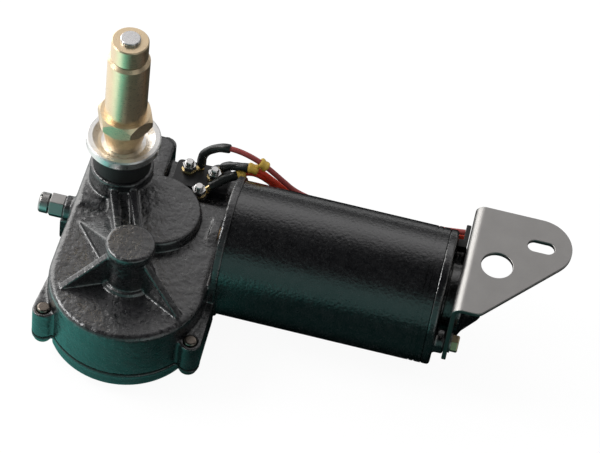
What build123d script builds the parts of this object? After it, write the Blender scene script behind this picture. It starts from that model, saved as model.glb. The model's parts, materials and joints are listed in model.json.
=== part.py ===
from build123d import *
import os
from math import atan2, cos, degrees, hypot, pi, radians, sin, tan

# Two-speed wiper motor with a worm gearbox, a crank-and-lever output and an end bracket.
# Millimetres. The origin is on the output shaft axis in the plane of the mounting panel,
# +Z points out along the output shaft and +X along the motor, away from the gearbox.

# ---------------------------------------------------------------- axes and gear sizes
WHEEL_X = 17.6                  # worm wheel axis, also the mounting post axis
WHEEL_Y = -53.2
MOTOR_Z = -31.0                 # height of the motor and worm axis
GEAR_MODULE = 1.2
WHEEL_TEETH = 48
WORM_PITCH_R = 6.8
WHEEL_FACE_W = 8.0              # tooth width of the worm wheel
WORM_TURNS = 6
WORM_THREAD_W = 1.15            # thread thickness on the pitch line
WHEEL_TOOTH_W = 1.5             # tooth thickness on the pitch circle
CRANK_R = 9.0
LEVER_R = 14.0
PARK_ANGLE = -33.0              # lever direction at rest, from +X

# ---------------------------------------------------------------- gearbox casting
WHEEL_ROOM = 1.4                # between the wheel's teeth and the wall
CASE_WALL = 2.6
CASE_TOP_Z = -23.0
CASE_TOP_WALL = 3.0
CASE_RIM_Z = -48.0
CASE_BACK_Y = 30.4
CASE_NECK_X = 18.4              # right wall of the narrow part behind the output boss
CASE_CORNER_R = 6.0
CASE_EDGE_R = 2.6
STEP_Y = -2.0                   # rear edge of the high top face, right of the neck
SHELF_BACK_Y = 21.6
SHELF_Z = -29.0
PAD_X = 20.0                    # raised round pad over the worm
PAD_R = 20.0
PAD_BASE_R = 20.9
PAD_TOP_Z = -17.4
BOSS_R = 14.0                   # output boss
BOSS_TOP_Z = -13.0
INNER_BOSS_R = 9.8
INNER_BOSS_Z = -39.8
POST_R = 9.8                    # mounting post
POST_HEAD_R = 10.6
POST_HEAD_H = 4.4
POST_FOOT_R = 11.6
POST_FOOT_H = 1.6
RIB_T = 3.4
WEDGE_T = 14.0
RIB_CREST_DROP = 5.2            # crest of the ribs below the post's top
LEFT_RIB_TIP = (-8.7, -67.0)
RIGHT_RIB_TIP = (44.4, -68.2)
WEDGE_TIP = (-5.3, -25.6)
TWIN_RIB_GAP = 8.6
EAR_R = 4.8                     # screw ears round the rim
EAR_TOP_Z = -33.4
EAR_REACH = 3.4                 # ear centres beyond the outside of the wall
LEFT_EAR = (211.2, 3.1)         # front ears: direction from the wheel axis, reach beyond the wall
RIGHT_EAR = (-28.9, 3.5)
FAIRING_L = 26.0                # fairing behind each front ear
FLANGE_T = 3.6                  # motor flange at the right wall
FLANGE_LEDGE = 1.2              # flange beyond the can
THRUST_WEB_W = 7.0              # web under the boss of the thrust screw
THRUST_WEB_REACH = 5.4

# ---------------------------------------------------------------- cover
GASKET_T = 0.8
COVER_FLANGE_T = 1.8
COVER_T = 2.5
COVER_LOW_Z = -57.2
COVER_STEP = 0.5                # pan of the cover inside the edge of its flange
COVER_EDGE_R = 2.0
SCREW_R = 2.9
SCREW_HEAD_R = 4.0
SCREW_HEAD_H = 2.2
SCREW_TIP = 1.2                 # screw end above the ear

# ---------------------------------------------------------------- output stack
SHAFT_R = 4.4
PIPE_R = 6.6                    # threaded pipe fixed in the output boss
PIPE_TOP_Z = 52.6
BUSH_L = 14.0
SLEEVE_R = 9.1                  # brass sleeve nut
SLEEVE_TOP_Z = 54.2
SLEEVE_CHAMFER = 1.4
HEX_AF = 21.8
HEX_LOW_Z = 13.4
HEX_TOP_Z = 20.8
HEX_CORNER_H = 2.4              # turned-off height of the corners
HEX_TURN = -5.0
NOSE_TOP_R = 10.0
NOSE_LOW_R = 7.9
WASHER_R = 16.3                 # dished washer
WASHER_T = 1.2
WASHER_TOP_Z = 4.4
WASHER_DISH_R = 11.2
WASHER_SEAT_Z = 0.0
SPACER_R = 12.8                 # rubber spacer under the washer
COLLAR_R = 8.0
COLLAR_LOW_Z = 54.6
COLLAR_TOP_Z = 64.3
SHAFT_END = 1.6                 # serrated shaft end above the collar
SERRATION_COUNT = 24
SERRATION_D = 0.25
SEAL_T = 2.4
LEVER_T = 3.5
LEVER_TOP_Z = -40.5
LINK_TOP_Z = -45.0
LINK_T = 3.5
EYE_R = 5.4
LINK_W = 7.0
PIN_R = 3.0
AXLE_R = 4.0
AXLE_TOP_Z = -10.0
WHEEL_HUB_R = 8.5
WHEEL_RIM_R = 23.5              # inside of the toothed rim's recess
WHEEL_WEB_T = 5.0
CRANK_PLATE_R = 14.0
CRANK_PLATE_T = 2.0
PARK_RING_IN_R = 17.5
PARK_RING_OUT_R = 22.5
PARK_RING_T = 0.5
PARK_GAP = 9.0                  # gap in the ring at the park position
CONTACT_BLOCK_W = 9.0
CONTACT_BLOCK_L = 14.0
CONTACT_BLOCK_H = 5.0
FINGER_W = 1.6
FINGER_T = 0.5
CLIP_T = 0.7
AXLE_CLIP_W = 1.2
CLIP_GAP = 0.3

# ---------------------------------------------------------------- motor
CAN_R = 30.0
CAN_WALL = 1.5
CAN_L = 91.8
CAP_T = 4.0
SPIGOT_L = 2.6
BOLT_R = 2.0                    # through bolts
BOLT_INSET = 6.4                # bolt centres inside the can's surface
BOLT_PAD_H = 4.6
BOLT_PAD_R = 5.5
BOLT_AF = 7.0
BOLT_HEAD_H = 3.2
BOLT_WASHER_T = 0.8
CORE_L = 60.0
CORE_INSET = 8.8                # end of the core inside the can
SLOT_COUNT = 12
SLOT_D = 7.0                    # radial length of a winding slot
SLOT_W = 3.2
SLOT_LIP = 1.0                  # iron between a slot and the core's surface
SLOT_MOUTH = 1.4
MAGNET_T = 6.7
MAGNET_FIT = 0.1                # between the magnets and the can
AIR_GAP = 0.7                   # between the magnets and the core
MAGNET_ARC = 130.0
MAGNET_OVERHANG = 2.0
WINDING_SETBACK = 3.0           # windings inside the core's surface
WINDING_L = 6.0
BAR_FIT = 0.4                   # between the windings and their slots
WINDING_BORE = 1.5              # between the windings and the shaft
COMM_R = 10.5
COMM_L = 11.0
COMM_SETBACK = 8.0              # from the core to the commutator
COMM_BARS = 12
COMM_SLOT_D = 1.4
COMM_SLOT_W = 0.5
BRUSH_W = 6.0
BRUSH_L = 8.0
BRUSH_H = 9.0
BRUSH_SPRING_H = 3.0
BRUSH_HOLDER_T = 0.8
BRUSH_ANGLES = (90.0, 210.0, 270.0)
BRUSH_PLATE_T = 1.8
BEARING_R = 8.5
REAR_BEARING_INSET = 1.0        # rear bearing inside the can's end
REAR_BEARING_L = 7.0
FRONT_BEARING_INSET = 6.6       # front bearing inside the right wall
FRONT_BEARING_L = 7.0
HUB_R = 16.0                    # domed hub of the end cap
HUB_TIP_R = 5.2
HUB_L = 17.0                    # hub beyond the cap
HUB_SIDE_L = 8.4                # its straight side
NOSE_BUSH_X = -13.0
NOSE_BUSH_L = 9.0
NOSE_BUSH_R = 6.5
THRUST_SCREW_R = 2.5
THRUST_BALL_R = 2.0
THRUST_BOSS_R = 5.6
THRUST_BOSS_L = 4.0             # boss beyond the left wall
LOCK_NUT_AF = 9.6
LOCK_NUT_L = 6.4
THRUST_HEAD_R = 4.6
THRUST_HEAD_L = 4.2
THRUST_NECK = 0.9

# ---------------------------------------------------------------- bracket
PLATE_THICK = 2.0
PLATE_BACK_Y = 12.0
PLATE_FRONT_Y = -47.6
LEG_LOW_Z = -37.2
BEND_R = 2.4                    # inside of the bend
NOSE_R = 15.1                   # round end of the plate
NOSE_REACH = 29.3               # centre of the round end beyond the leg
PLATE_DIAGONAL = 50.0           # slope of the front edge, degrees
HOLE_R = 6.85
HOLE_POS = (14.2, -18.9)        # beyond the leg
SLOT_R = 3.1
SLOT_POS = (30.9, -3.3)
SLOT_PITCH = 5.6                # between the slot's end centres
DART_YS = (3.4, -39.8)          # stiffening darts across the bend
DART_R = 1.5

# ---------------------------------------------------------------- terminals and leads
STUD_POS = ((27.3, 15.2), (39.1, 14.0), (34.8, 2.6))
STUD_R = 1.9
BLOCK_T = 3.5
BLOCK_X0 = 21.4
BLOCK_X1 = 46.4
BLOCK_MARGIN = 3.8
BLOCK_FRONT = 4.0               # block in front of its two rear studs' margin
RING_T = 0.8
RING_R = 3.1
TERMINAL_WASHER_R = 3.3
TERMINAL_WASHER_T = 0.6
TERMINAL_NUT_AF = 5.5
TERMINAL_NUT_H = 2.6
STUD_END = 2.2
RING_TONGUE = 1.0               # tongue of the eye past the foot of its barrel
BARREL_L = 2.0
LEAD_R = 1.25
SLEEVE_GAP = 0.25
SLEEVE_WALL = 0.6
BAND_R = 2.1
BAND_L = 2.6

# ---------------------------------------------------------------- clearances
RUN = 0.05                      # radial running clearance
AIR = 0.3                       # gap between parts that pass each other
SIDE = 0.02                     # radial gap of parts fixed in one another

os.makedirs("parts", exist_ok=True)

# ---------------------------------------------------------------- derived places
WHEEL_PITCH_R = GEAR_MODULE * WHEEL_TEETH / 2
CASE_R = WHEEL_PITCH_R + GEAR_MODULE + WHEEL_ROOM + CASE_WALL
MOTOR_Y = WHEEL_Y + WHEEL_PITCH_R + WORM_PITCH_R
WORM_LEAD = pi * GEAR_MODULE
ROOT_DEPTH = 1.3 * GEAR_MODULE
CASE_LEFT_X = WHEEL_X - CASE_R
CASE_RIGHT_X = WHEEL_X + CASE_R
CAN_X = CASE_RIGHT_X + FLANGE_T
CAN_END_X = CAN_X + CAN_L
CAP_X = CAN_END_X + CAP_T
LEG_X = CAP_X + BOLT_PAD_H      # face of the leg against the end cap
FLANGE_R = CAN_R + FLANGE_LEDGE
THRUST_BOSS_X = CASE_LEFT_X - THRUST_BOSS_L
COVER_TOP_Z = CASE_RIM_Z - GASKET_T
COVER_FLANGE_Z = COVER_TOP_Z - COVER_FLANGE_T
COVER_FLOOR_Z = COVER_LOW_Z + COVER_T
MAGNET_OUT_R = CAN_R - CAN_WALL - MAGNET_FIT
MAGNET_IN_R = MAGNET_OUT_R - MAGNET_T
CORE_R = MAGNET_IN_R - AIR_GAP
CORE_X0 = CAN_X + CORE_INSET
CORE_X1 = CORE_X0 + CORE_L
SLOT_PLACE_R = CORE_R - SLOT_LIP - SLOT_D / 2
WINDING_R = CORE_R - WINDING_SETBACK
COMM_X0 = CORE_X1 + COMM_SETBACK
FRONT_BEARING_X = CASE_RIGHT_X - FRONT_BEARING_INSET
REAR_BEARING_X = CAN_END_X - REAR_BEARING_INSET
BRUSH_PLATE_X = CAN_END_X - SPIGOT_L - BRUSH_PLATE_T
NOSE_X = LEG_X + NOSE_REACH
WHEEL_LOW_Z = MOTOR_Z - WHEEL_FACE_W / 2
WHEEL_TOP_Z = MOTOR_Z + WHEEL_FACE_W / 2
CRANK_PLATE_Z = WHEEL_LOW_Z - CRANK_PLATE_T
LEVER_Z = LEVER_TOP_Z - LEVER_T
LINK_Z = LINK_TOP_Z - LINK_T
BLOCK_TOP_Z = SHELF_Z + BLOCK_T
NOSE_Y = PLATE_BACK_Y - NOSE_R
LEVER_PIN = (LEVER_R * cos(radians(PARK_ANGLE)), LEVER_R * sin(radians(PARK_ANGLE)))
LINK_DIR = atan2(LEVER_PIN[1] - WHEEL_Y, LEVER_PIN[0] - WHEEL_X)
CRANK_PIN = (WHEEL_X - CRANK_R * cos(LINK_DIR), WHEEL_Y - CRANK_R * sin(LINK_DIR))
FRONT_EARS = tuple(
    (WHEEL_X + (CASE_R + reach) * cos(radians(turn)), WHEEL_Y + (CASE_R + reach) * sin(radians(turn)))
    for turn, reach in (LEFT_EAR, RIGHT_EAR)
)
BACK_EARS = (
    (CASE_LEFT_X + CASE_CORNER_R, CASE_BACK_Y + EAR_REACH),
    (CASE_NECK_X - CASE_CORNER_R, CASE_BACK_Y + EAR_REACH),
    (CASE_RIGHT_X - 2 * CASE_CORNER_R, SHELF_BACK_Y + EAR_REACH),
)
EARS = FRONT_EARS + BACK_EARS
BOLT_OFFSET = CAN_R - BOLT_INSET
BOLT_PLACES = ((-BOLT_OFFSET, 0), (BOLT_OFFSET, 0))

# Control points of the three leads, from the terminal barrels to the boot on the end cap.
LEAD_ROUTES = (
    ((32.3, 17.7, -22.9), (32.4, 17.4, -17.2), (36.5, 17.7, -10.7), (43.0, 17.5, -6.6),
     (50.5, 17.0, -6.5), (59.3, 16.4, -11.0), (68.5, 16.1, -18.3), (76.5, 16.3, -24.8),
     (91.0, 16.7, -27.0), (112.0, 16.5, -26.3), (138.0, 16.7, -25.3), (153.2, 16.7, -25.3)),
    ((41.8, 18.8, -22.9), (43.6, 18.1, -20.2), (47.2, 16.6, -17.4), (50.9, 15.6, -15.8),
     (55.2, 15.6, -14.9), (59.8, 15.9, -16.3), (65.4, 16.4, -20.8), (73.2, 16.9, -26.8),
     (86.0, 17.2, -30.5), (109.0, 16.9, -29.9), (134.0, 17.1, -29.4), (153.2, 17.1, -29.4)),
    ((38.9, 6.2, -23.2), (42.4, 9.4, -21.5), (46.4, 12.6, -20.9), (50.4, 15.3, -20.3),
     (54.8, 16.6, -19.2), (59.4, 17.0, -20.3), (65.4, 17.4, -24.6), (72.0, 17.6, -30.0),
     (81.0, 17.4, -33.0), (95.0, 17.2, -34.2), (115.0, 17.4, -33.7), (137.0, 17.2, -33.4),
     (153.2, 17.2, -33.4)),
)
SLEEVE_SPANS = (0.18, 0.115, 0.1)        # end of each sleeve, as a share of its lead
BAND_SPANS = (0.283, 0.144, 0.127)      # place of each band, as a share of its lead


# ---------------------------------------------------------------- helpers
def motor_plane(x):
    """Plane across the motor axis: its X runs along +Y and its Y along +Z."""
    return Plane(origin=(x, MOTOR_Y, MOTOR_Z), x_dir=(0, 1, 0), z_dir=(1, 0, 0))


def level(z, x=0.0, y=0.0):
    """Level plane at height z with its origin over (x, y)."""
    return Plane(origin=(x, y, z))


def tube(plane, outer_r, bore_r, length):
    """Plain round tube that starts on a plane and runs along its normal."""
    with BuildPart() as blank:
        with BuildSketch(plane):
            Circle(outer_r)
            Circle(bore_r, mode=Mode.SUBTRACT)
        extrude(amount=length)
    return blank.part


def hex_bolt(plane, af, head_h, shank_r, shank_l):
    """Bolt whose head stands on a plane and whose shank runs the other way."""
    with BuildPart() as blank:
        with BuildSketch(plane):
            RegularPolygon(af / 2, 6, major_radius=False)
        extrude(amount=head_h)
        chamfer(blank.faces().sort_by(plane_axis(plane))[-1].edges(), af / 16)
        with BuildSketch(plane):
            Circle(shank_r)
        extrude(amount=-shank_l)
    return blank.part


def plane_axis(plane):
    """Axis along a plane's normal, for sorting."""
    return Axis(plane.origin, plane.z_dir)


def save(piece, name):
    """Label a finished piece and write it."""
    piece.part.label = name
    export_step(piece.part, "parts/" + name + ".step")


def outline(back_y, inset=0.0):
    """Footprint of the casting: a round end, straight walls and the neck behind the output boss."""
    with BuildSketch() as shape:
        with Locations((WHEEL_X, WHEEL_Y)):
            Circle(CASE_R)
            Rectangle(2 * CASE_R, back_y - WHEEL_Y, align=(Align.CENTER, Align.MIN))
        with Locations((CASE_LEFT_X, WHEEL_Y)):
            Rectangle(CASE_NECK_X - CASE_LEFT_X, CASE_BACK_Y - WHEEL_Y, align=(Align.MIN, Align.MIN))
        fillet(shape.vertices().group_by(Axis.Y)[-1], CASE_CORNER_R)
        neck_corner = shape.vertices().sort_by_distance((CASE_NECK_X, back_y))[0]
        fillet(neck_corner, CASE_CORNER_R / 3)
        if inset:
            offset(amount=-inset)
    return shape.sketch


def rim_outline():
    """Footprint at the rim, with the screw ears and the fairings behind the front pair."""
    with BuildSketch() as shape:
        add(outline(SHELF_BACK_Y))
        with Locations(*EARS):
            Circle(EAR_R)
        for ear_x, ear_y in BACK_EARS:
            with Locations((ear_x, ear_y)):
                Rectangle(2 * EAR_R, 2 * EAR_R, align=(Align.CENTER, Align.MAX))
        for (ear_x, ear_y), side, wall_x in zip(FRONT_EARS, (-1, 1), (CASE_LEFT_X, CAN_X - AIR)):
            Polygon(
                (ear_x, ear_y - EAR_R),
                (ear_x + side * EAR_R, ear_y),
                (wall_x, ear_y + FAIRING_L),
                (ear_x - side * EAR_R, ear_y + FAIRING_L),
                (ear_x - side * 2 * EAR_R, ear_y),
                align=None,
            )
            with Locations((ear_x, ear_y)):
                Circle(EAR_R)
    return shape.sketch


def web(tip, thickness, side=0.0, foot_h=0.0, setback=0.0):
    """Upright rib from the post down to a tip on the top face."""
    reach_x = tip[0] - WHEEL_X
    reach_y = tip[1] - WHEEL_Y
    length = hypot(reach_x, reach_y)
    along = Vector(reach_x / length, reach_y / length, 0)
    across = Vector(along.Y, -along.X, 0)
    foot = Vector(WHEEL_X, WHEEL_Y, CASE_TOP_Z) + across * side
    crest = -RIB_CREST_DROP - CASE_TOP_Z
    end = length - setback
    with BuildPart() as rib:
        with BuildSketch(Plane(origin=foot, x_dir=along, z_dir=across)):
            Polygon((0, -1), (end, -1), (end, foot_h + 0.3), (POST_R - 1, crest), (0, crest), align=None)
        extrude(amount=thickness / 2, both=True)
    return rib.part


# ---------------------------------------------------------------- gearbox casting
def casting_body():
    """Outer form of the casting, before it is hollowed."""
    with BuildPart() as body:
        with BuildSketch(level(CASE_RIM_Z)):
            add(outline(STEP_Y))
        extrude(amount=CASE_TOP_Z - CASE_RIM_Z)
        fillet(body.faces().sort_by(Axis.Z)[-1].edges(), CASE_EDGE_R)
        with BuildSketch(level(CASE_RIM_Z)):
            add(outline(SHELF_BACK_Y))
        extrude(amount=SHELF_Z - CASE_RIM_Z)
        with BuildSketch(level(CASE_RIM_Z)):
            add(rim_outline())
        extrude(amount=EAR_TOP_Z - CASE_RIM_Z)
        with Locations((PAD_X, MOTOR_Y, SHELF_Z)):
            Cone(PAD_BASE_R, PAD_R, PAD_TOP_Z - SHELF_Z, align=(Align.CENTER, Align.CENTER, Align.MIN))
        fillet(body.faces().filter_by(Plane.XY).group_by(Axis.Z)[-1].edges(), 1.2)
    return body.part


def mounting_post():
    """Post with its head and foot ring, standing on the wheel axis."""
    with BuildPart() as post:
        with BuildSketch(level(CASE_TOP_Z - 1, WHEEL_X, WHEEL_Y)):
            Circle(POST_FOOT_R)
        extrude(amount=POST_FOOT_H + 1)
        fillet(post.faces().sort_by(Axis.Z)[-1].edges(), 0.8)
        with BuildSketch(level(CASE_TOP_Z, WHEEL_X, WHEEL_Y)):
            Circle(POST_R)
        extrude(amount=-CASE_TOP_Z)
        with BuildSketch(level(-POST_HEAD_H, WHEEL_X, WHEEL_Y)):
            Circle(POST_HEAD_R)
        extrude(amount=POST_HEAD_H)
        fillet(post.faces().sort_by(Axis.Z)[-1].edges(), 1.0)
    return post.part


def output_boss():
    """Boss of the output shaft, outside and inside the casting."""
    with BuildPart() as boss:
        with BuildSketch(level(CASE_TOP_Z - 1)):
            Circle(BOSS_R)
        extrude(amount=BOSS_TOP_Z - CASE_TOP_Z + 1)
        fillet(boss.faces().sort_by(Axis.Z)[-1].edges(), 0.8)
        with BuildSketch(level(INNER_BOSS_Z)):
            Circle(INNER_BOSS_R)
        extrude(amount=CASE_TOP_Z - INNER_BOSS_Z)
    return boss.part


def make_gear_housing():
    twin = TWIN_RIB_GAP / 2
    inner_left_x = CASE_LEFT_X + CASE_WALL
    inner_right_x = CASE_RIGHT_X - CASE_WALL
    web_h = MOTOR_Z - THRUST_BOSS_R - CASE_RIM_Z
    with BuildPart() as gear_housing:
        add(casting_body())
        with BuildSketch(motor_plane(CASE_RIGHT_X)):
            Circle(FLANGE_R)
        extrude(amount=FLANGE_T)
        with BuildSketch(motor_plane(THRUST_BOSS_X)):
            Circle(THRUST_BOSS_R)
        extrude(amount=CASE_LEFT_X - THRUST_BOSS_X + 1)
        with BuildSketch(motor_plane(CASE_LEFT_X - THRUST_WEB_REACH)):
            with Locations((0, CASE_RIM_Z - MOTOR_Z)):
                Rectangle(THRUST_WEB_W, web_h, align=(Align.CENTER, Align.MIN))
        extrude(amount=THRUST_WEB_REACH + 1)
        # hollow inside
        with BuildSketch(level(CASE_RIM_Z)):
            add(outline(SHELF_BACK_Y, CASE_WALL))
        extrude(amount=SHELF_Z - CASE_TOP_WALL - CASE_RIM_Z, mode=Mode.SUBTRACT)
        with BuildSketch(level(CASE_RIM_Z)):
            add(outline(STEP_Y, CASE_WALL))
        extrude(amount=CASE_TOP_Z - CASE_TOP_WALL - CASE_RIM_Z, mode=Mode.SUBTRACT)
        # bosses, post and ribs
        add(output_boss())
        add(mounting_post())
        with BuildSketch(level(WHEEL_TOP_Z + AIR, WHEEL_X, WHEEL_Y)):
            Circle(WHEEL_HUB_R)
        extrude(amount=CASE_TOP_Z - WHEEL_TOP_Z - AIR)
        add(web(LEFT_RIB_TIP, RIB_T))
        add(web(RIGHT_RIB_TIP, RIB_T))
        add(web(WEDGE_TIP, WEDGE_T))
        for side in (-twin, twin):
            add(web((0, 0), RIB_T, side, BOSS_TOP_Z - CASE_TOP_Z - 4, BOSS_R - 3))
        with BuildSketch(motor_plane(inner_left_x)):
            Circle(NOSE_BUSH_R + CASE_WALL)
        extrude(amount=NOSE_BUSH_X + NOSE_BUSH_L - inner_left_x)
        with BuildSketch(motor_plane(FRONT_BEARING_X)):
            Circle(BEARING_R + CASE_WALL)
        extrude(amount=inner_right_x - FRONT_BEARING_X)
        # room over the worm, then the bores
        with BuildSketch(level(WHEEL_TOP_Z, PAD_X, MOTOR_Y)):
            Circle(PAD_R - CASE_TOP_WALL)
        extrude(amount=PAD_TOP_Z - CASE_TOP_WALL - WHEEL_TOP_Z, mode=Mode.SUBTRACT)
        with BuildSketch(level(INNER_BOSS_Z)):
            Circle(PIPE_R + SIDE)
        extrude(amount=BOSS_TOP_Z - INNER_BOSS_Z, mode=Mode.SUBTRACT)
        with BuildSketch(level(WHEEL_TOP_Z, WHEEL_X, WHEEL_Y)):
            Circle(AXLE_R + SIDE)
        extrude(amount=AXLE_TOP_Z + SIDE - WHEEL_TOP_Z, mode=Mode.SUBTRACT)
        with BuildSketch(motor_plane(NOSE_BUSH_X)):
            Circle(NOSE_BUSH_R + SIDE)
        extrude(amount=NOSE_BUSH_L, mode=Mode.SUBTRACT)
        with BuildSketch(motor_plane(THRUST_BOSS_X)):
            Circle(THRUST_SCREW_R + SIDE)
        extrude(amount=NOSE_BUSH_X - THRUST_BOSS_X, mode=Mode.SUBTRACT)
        with BuildSketch(motor_plane(FRONT_BEARING_X)):
            Circle(BEARING_R + SIDE)
        extrude(amount=FRONT_BEARING_L, mode=Mode.SUBTRACT)
        with BuildSketch(motor_plane(FRONT_BEARING_X)):
            Circle(AXLE_R + 1)
        extrude(amount=CAN_X - FRONT_BEARING_X, mode=Mode.SUBTRACT)
        with BuildSketch(motor_plane(CASE_RIGHT_X - 1)):
            with Locations(*BOLT_PLACES):
                Circle(BOLT_R + SIDE)
        extrude(amount=FLANGE_T + 1, mode=Mode.SUBTRACT)
        with BuildSketch(level(SHELF_Z)):
            with Locations(*STUD_POS):
                Circle(BLOCK_MARGIN - 0.9)
        extrude(amount=-CASE_TOP_WALL, mode=Mode.SUBTRACT)
        with BuildSketch(level(CASE_RIM_Z)):
            with Locations(*EARS):
                Circle(SCREW_R + SIDE)
        extrude(amount=EAR_TOP_Z - CASE_RIM_Z, mode=Mode.SUBTRACT)
    save(gear_housing, "gear_housing")


def make_cover_gasket():
    with BuildPart() as cover_gasket:
        with BuildSketch(level(COVER_TOP_Z)):
            add(rim_outline())
            add(outline(SHELF_BACK_Y, CASE_WALL), mode=Mode.SUBTRACT)
            with Locations(*EARS):
                Circle(SCREW_R + SIDE, mode=Mode.SUBTRACT)
        extrude(amount=GASKET_T)
    save(cover_gasket, "cover_gasket")


def make_gear_cover():
    """Cover: a flange with the screw ears and a pan below it that holds the crank."""
    with BuildPart() as gear_cover:
        with BuildSketch(level(COVER_LOW_Z)):
            add(outline(SHELF_BACK_Y, COVER_STEP))
        extrude(amount=COVER_TOP_Z - COVER_LOW_Z)
        fillet(gear_cover.faces().sort_by(Axis.Z)[0].edges(), COVER_EDGE_R)
        with BuildSketch(level(COVER_LOW_Z)):
            with Locations(*EARS):
                Circle(SCREW_HEAD_R + AIR)
        extrude(amount=COVER_FLANGE_Z - COVER_LOW_Z, mode=Mode.SUBTRACT)
        with BuildSketch(level(COVER_FLANGE_Z)):
            add(rim_outline())
        extrude(amount=COVER_FLANGE_T)
        with BuildSketch(level(COVER_FLOOR_Z)):
            add(outline(SHELF_BACK_Y, CASE_WALL))
        extrude(amount=COVER_TOP_Z - COVER_FLOOR_Z, mode=Mode.SUBTRACT)
        with BuildSketch(level(COVER_FLANGE_Z)):
            with Locations(*EARS):
                Circle(SCREW_R + SIDE)
        extrude(amount=COVER_FLANGE_T, mode=Mode.SUBTRACT)
    save(gear_cover, "gear_cover")


def make_cover_screws():
    with BuildPart() as cover_screws:
        with BuildSketch(level(COVER_FLANGE_Z)):
            with Locations(*EARS):
                Circle(SCREW_HEAD_R)
        extrude(amount=-SCREW_HEAD_H)
        fillet(cover_screws.faces().group_by(Axis.Z)[0].edges(), SCREW_HEAD_H / 2)
        with BuildSketch(level(COVER_FLANGE_Z)):
            with Locations(*EARS):
                Circle(SCREW_R)
        extrude(amount=EAR_TOP_Z + SCREW_TIP - COVER_FLANGE_Z)
        fillet(cover_screws.faces().group_by(Axis.Z)[-1].edges(), SCREW_R / 3)
    save(cover_screws, "cover_screws")


# ---------------------------------------------------------------- output stack
def make_output_stack():
    with BuildPart() as shaft_pipe:
        add(tube(level(INNER_BOSS_Z), PIPE_R, SHAFT_R + 1.6, PIPE_TOP_Z - INNER_BOSS_Z))
    save(shaft_pipe, "shaft_pipe")

    bush_r = SHAFT_R + 1.6 - SIDE
    with BuildPart() as lower_bush:
        add(tube(level(INNER_BOSS_Z), bush_r, SHAFT_R + RUN, BUSH_L))
    save(lower_bush, "lower_bush")
    with BuildPart() as upper_bush:
        add(tube(level(PIPE_TOP_Z - SEAL_T - BUSH_L), bush_r, SHAFT_R + RUN, BUSH_L))
    save(upper_bush, "upper_bush")
    with BuildPart() as shaft_seal:
        add(tube(level(PIPE_TOP_Z - SEAL_T), bush_r, SHAFT_R + RUN, SEAL_T))
    save(shaft_seal, "shaft_seal")

    with BuildPart() as rubber_spacer:
        add(tube(level(BOSS_TOP_Z), SPACER_R, PIPE_R + AIR, WASHER_SEAT_Z - BOSS_TOP_Z))
        fillet(rubber_spacer.edges().filter_by(GeomType.CIRCLE).group_by(SortBy.RADIUS)[-1], 0.8)
    save(rubber_spacer, "rubber_spacer")


def make_cup_washer():
    """Dished washer: flat seat, rising wall and a rounded rim."""
    rim_z = WASHER_TOP_Z
    seat_top = WASHER_SEAT_Z + WASHER_T
    with BuildPart() as cup_washer:
        with BuildSketch(Plane.XZ):
            Polygon(
                (PIPE_R + AIR, WASHER_SEAT_Z),
                (WASHER_R - 0.5, WASHER_SEAT_Z),
                (WASHER_R, WASHER_SEAT_Z + 0.5),
                (WASHER_R, rim_z - 0.6),
                (WASHER_R - 0.6, rim_z),
                (WASHER_R - 2.6, rim_z),
                (WASHER_DISH_R, seat_top + 0.8),
                (WASHER_DISH_R - 1.4, seat_top),
                (PIPE_R + AIR, seat_top),
                align=None,
            )
        revolve(axis=Axis.Z)
    save(cup_washer, "cup_washer")


def nut_hexagon():
    """Hexagon of the sleeve nut, with its corners turned off at both ends."""
    corner_r = HEX_AF / 2 / cos(radians(30))
    with BuildPart() as hexagon:
        with BuildSketch(level(HEX_LOW_Z)):
            RegularPolygon(HEX_AF / 2, 6, major_radius=False, rotation=HEX_TURN)
        extrude(amount=HEX_TOP_Z - HEX_LOW_Z)
        with BuildSketch(Plane.XZ):
            Polygon(
                (0, HEX_LOW_Z),
                (HEX_AF / 2, HEX_LOW_Z),
                (corner_r, HEX_LOW_Z + HEX_CORNER_H),
                (corner_r, HEX_TOP_Z - HEX_CORNER_H),
                (HEX_AF / 2, HEX_TOP_Z),
                (0, HEX_TOP_Z),
                align=None,
            )
        revolve(axis=Axis.Z, mode=Mode.INTERSECT)
    return hexagon.part


def make_sleeve_nut():
    """Long brass nut: tapered nose, hexagon and plain sleeve, screwed down the pipe."""
    nose_z = WASHER_SEAT_Z + WASHER_T
    with BuildPart() as sleeve_nut:
        with BuildSketch(Plane.XZ):
            Polygon(
                (0, nose_z),
                (NOSE_LOW_R, nose_z),
                (NOSE_TOP_R, HEX_LOW_Z),
                (NOSE_TOP_R, HEX_TOP_Z),
                (SLEEVE_R, HEX_TOP_Z),
                (SLEEVE_R, SLEEVE_TOP_Z - SLEEVE_CHAMFER),
                (SLEEVE_R - SLEEVE_CHAMFER, SLEEVE_TOP_Z),
                (0, SLEEVE_TOP_Z),
                align=None,
            )
        revolve(axis=Axis.Z)
        add(nut_hexagon())
        with BuildSketch(level(nose_z)):
            Circle(PIPE_R + SIDE)
        extrude(amount=PIPE_TOP_Z - nose_z, mode=Mode.SUBTRACT)
        with BuildSketch(level(PIPE_TOP_Z)):
            Circle(SHAFT_R + 2 * AIR)
        extrude(amount=SLEEVE_TOP_Z - PIPE_TOP_Z, mode=Mode.SUBTRACT)
    save(sleeve_nut, "sleeve_nut")


def make_output_shaft():
    end_z = COLLAR_TOP_Z + SHAFT_END
    with BuildPart() as output_shaft:
        with BuildSketch(level(LEVER_Z)):
            Circle(SHAFT_R)
        extrude(amount=end_z - LEVER_Z)
        chamfer(output_shaft.faces().sort_by(Axis.Z)[-1].edges(), 0.5)
        with BuildSketch(level(COLLAR_TOP_Z)):
            with PolarLocations(SHAFT_R, SERRATION_COUNT):
                Circle(SERRATION_D)
        extrude(amount=SHAFT_END, mode=Mode.SUBTRACT)
    save(output_shaft, "output_shaft")


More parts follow.
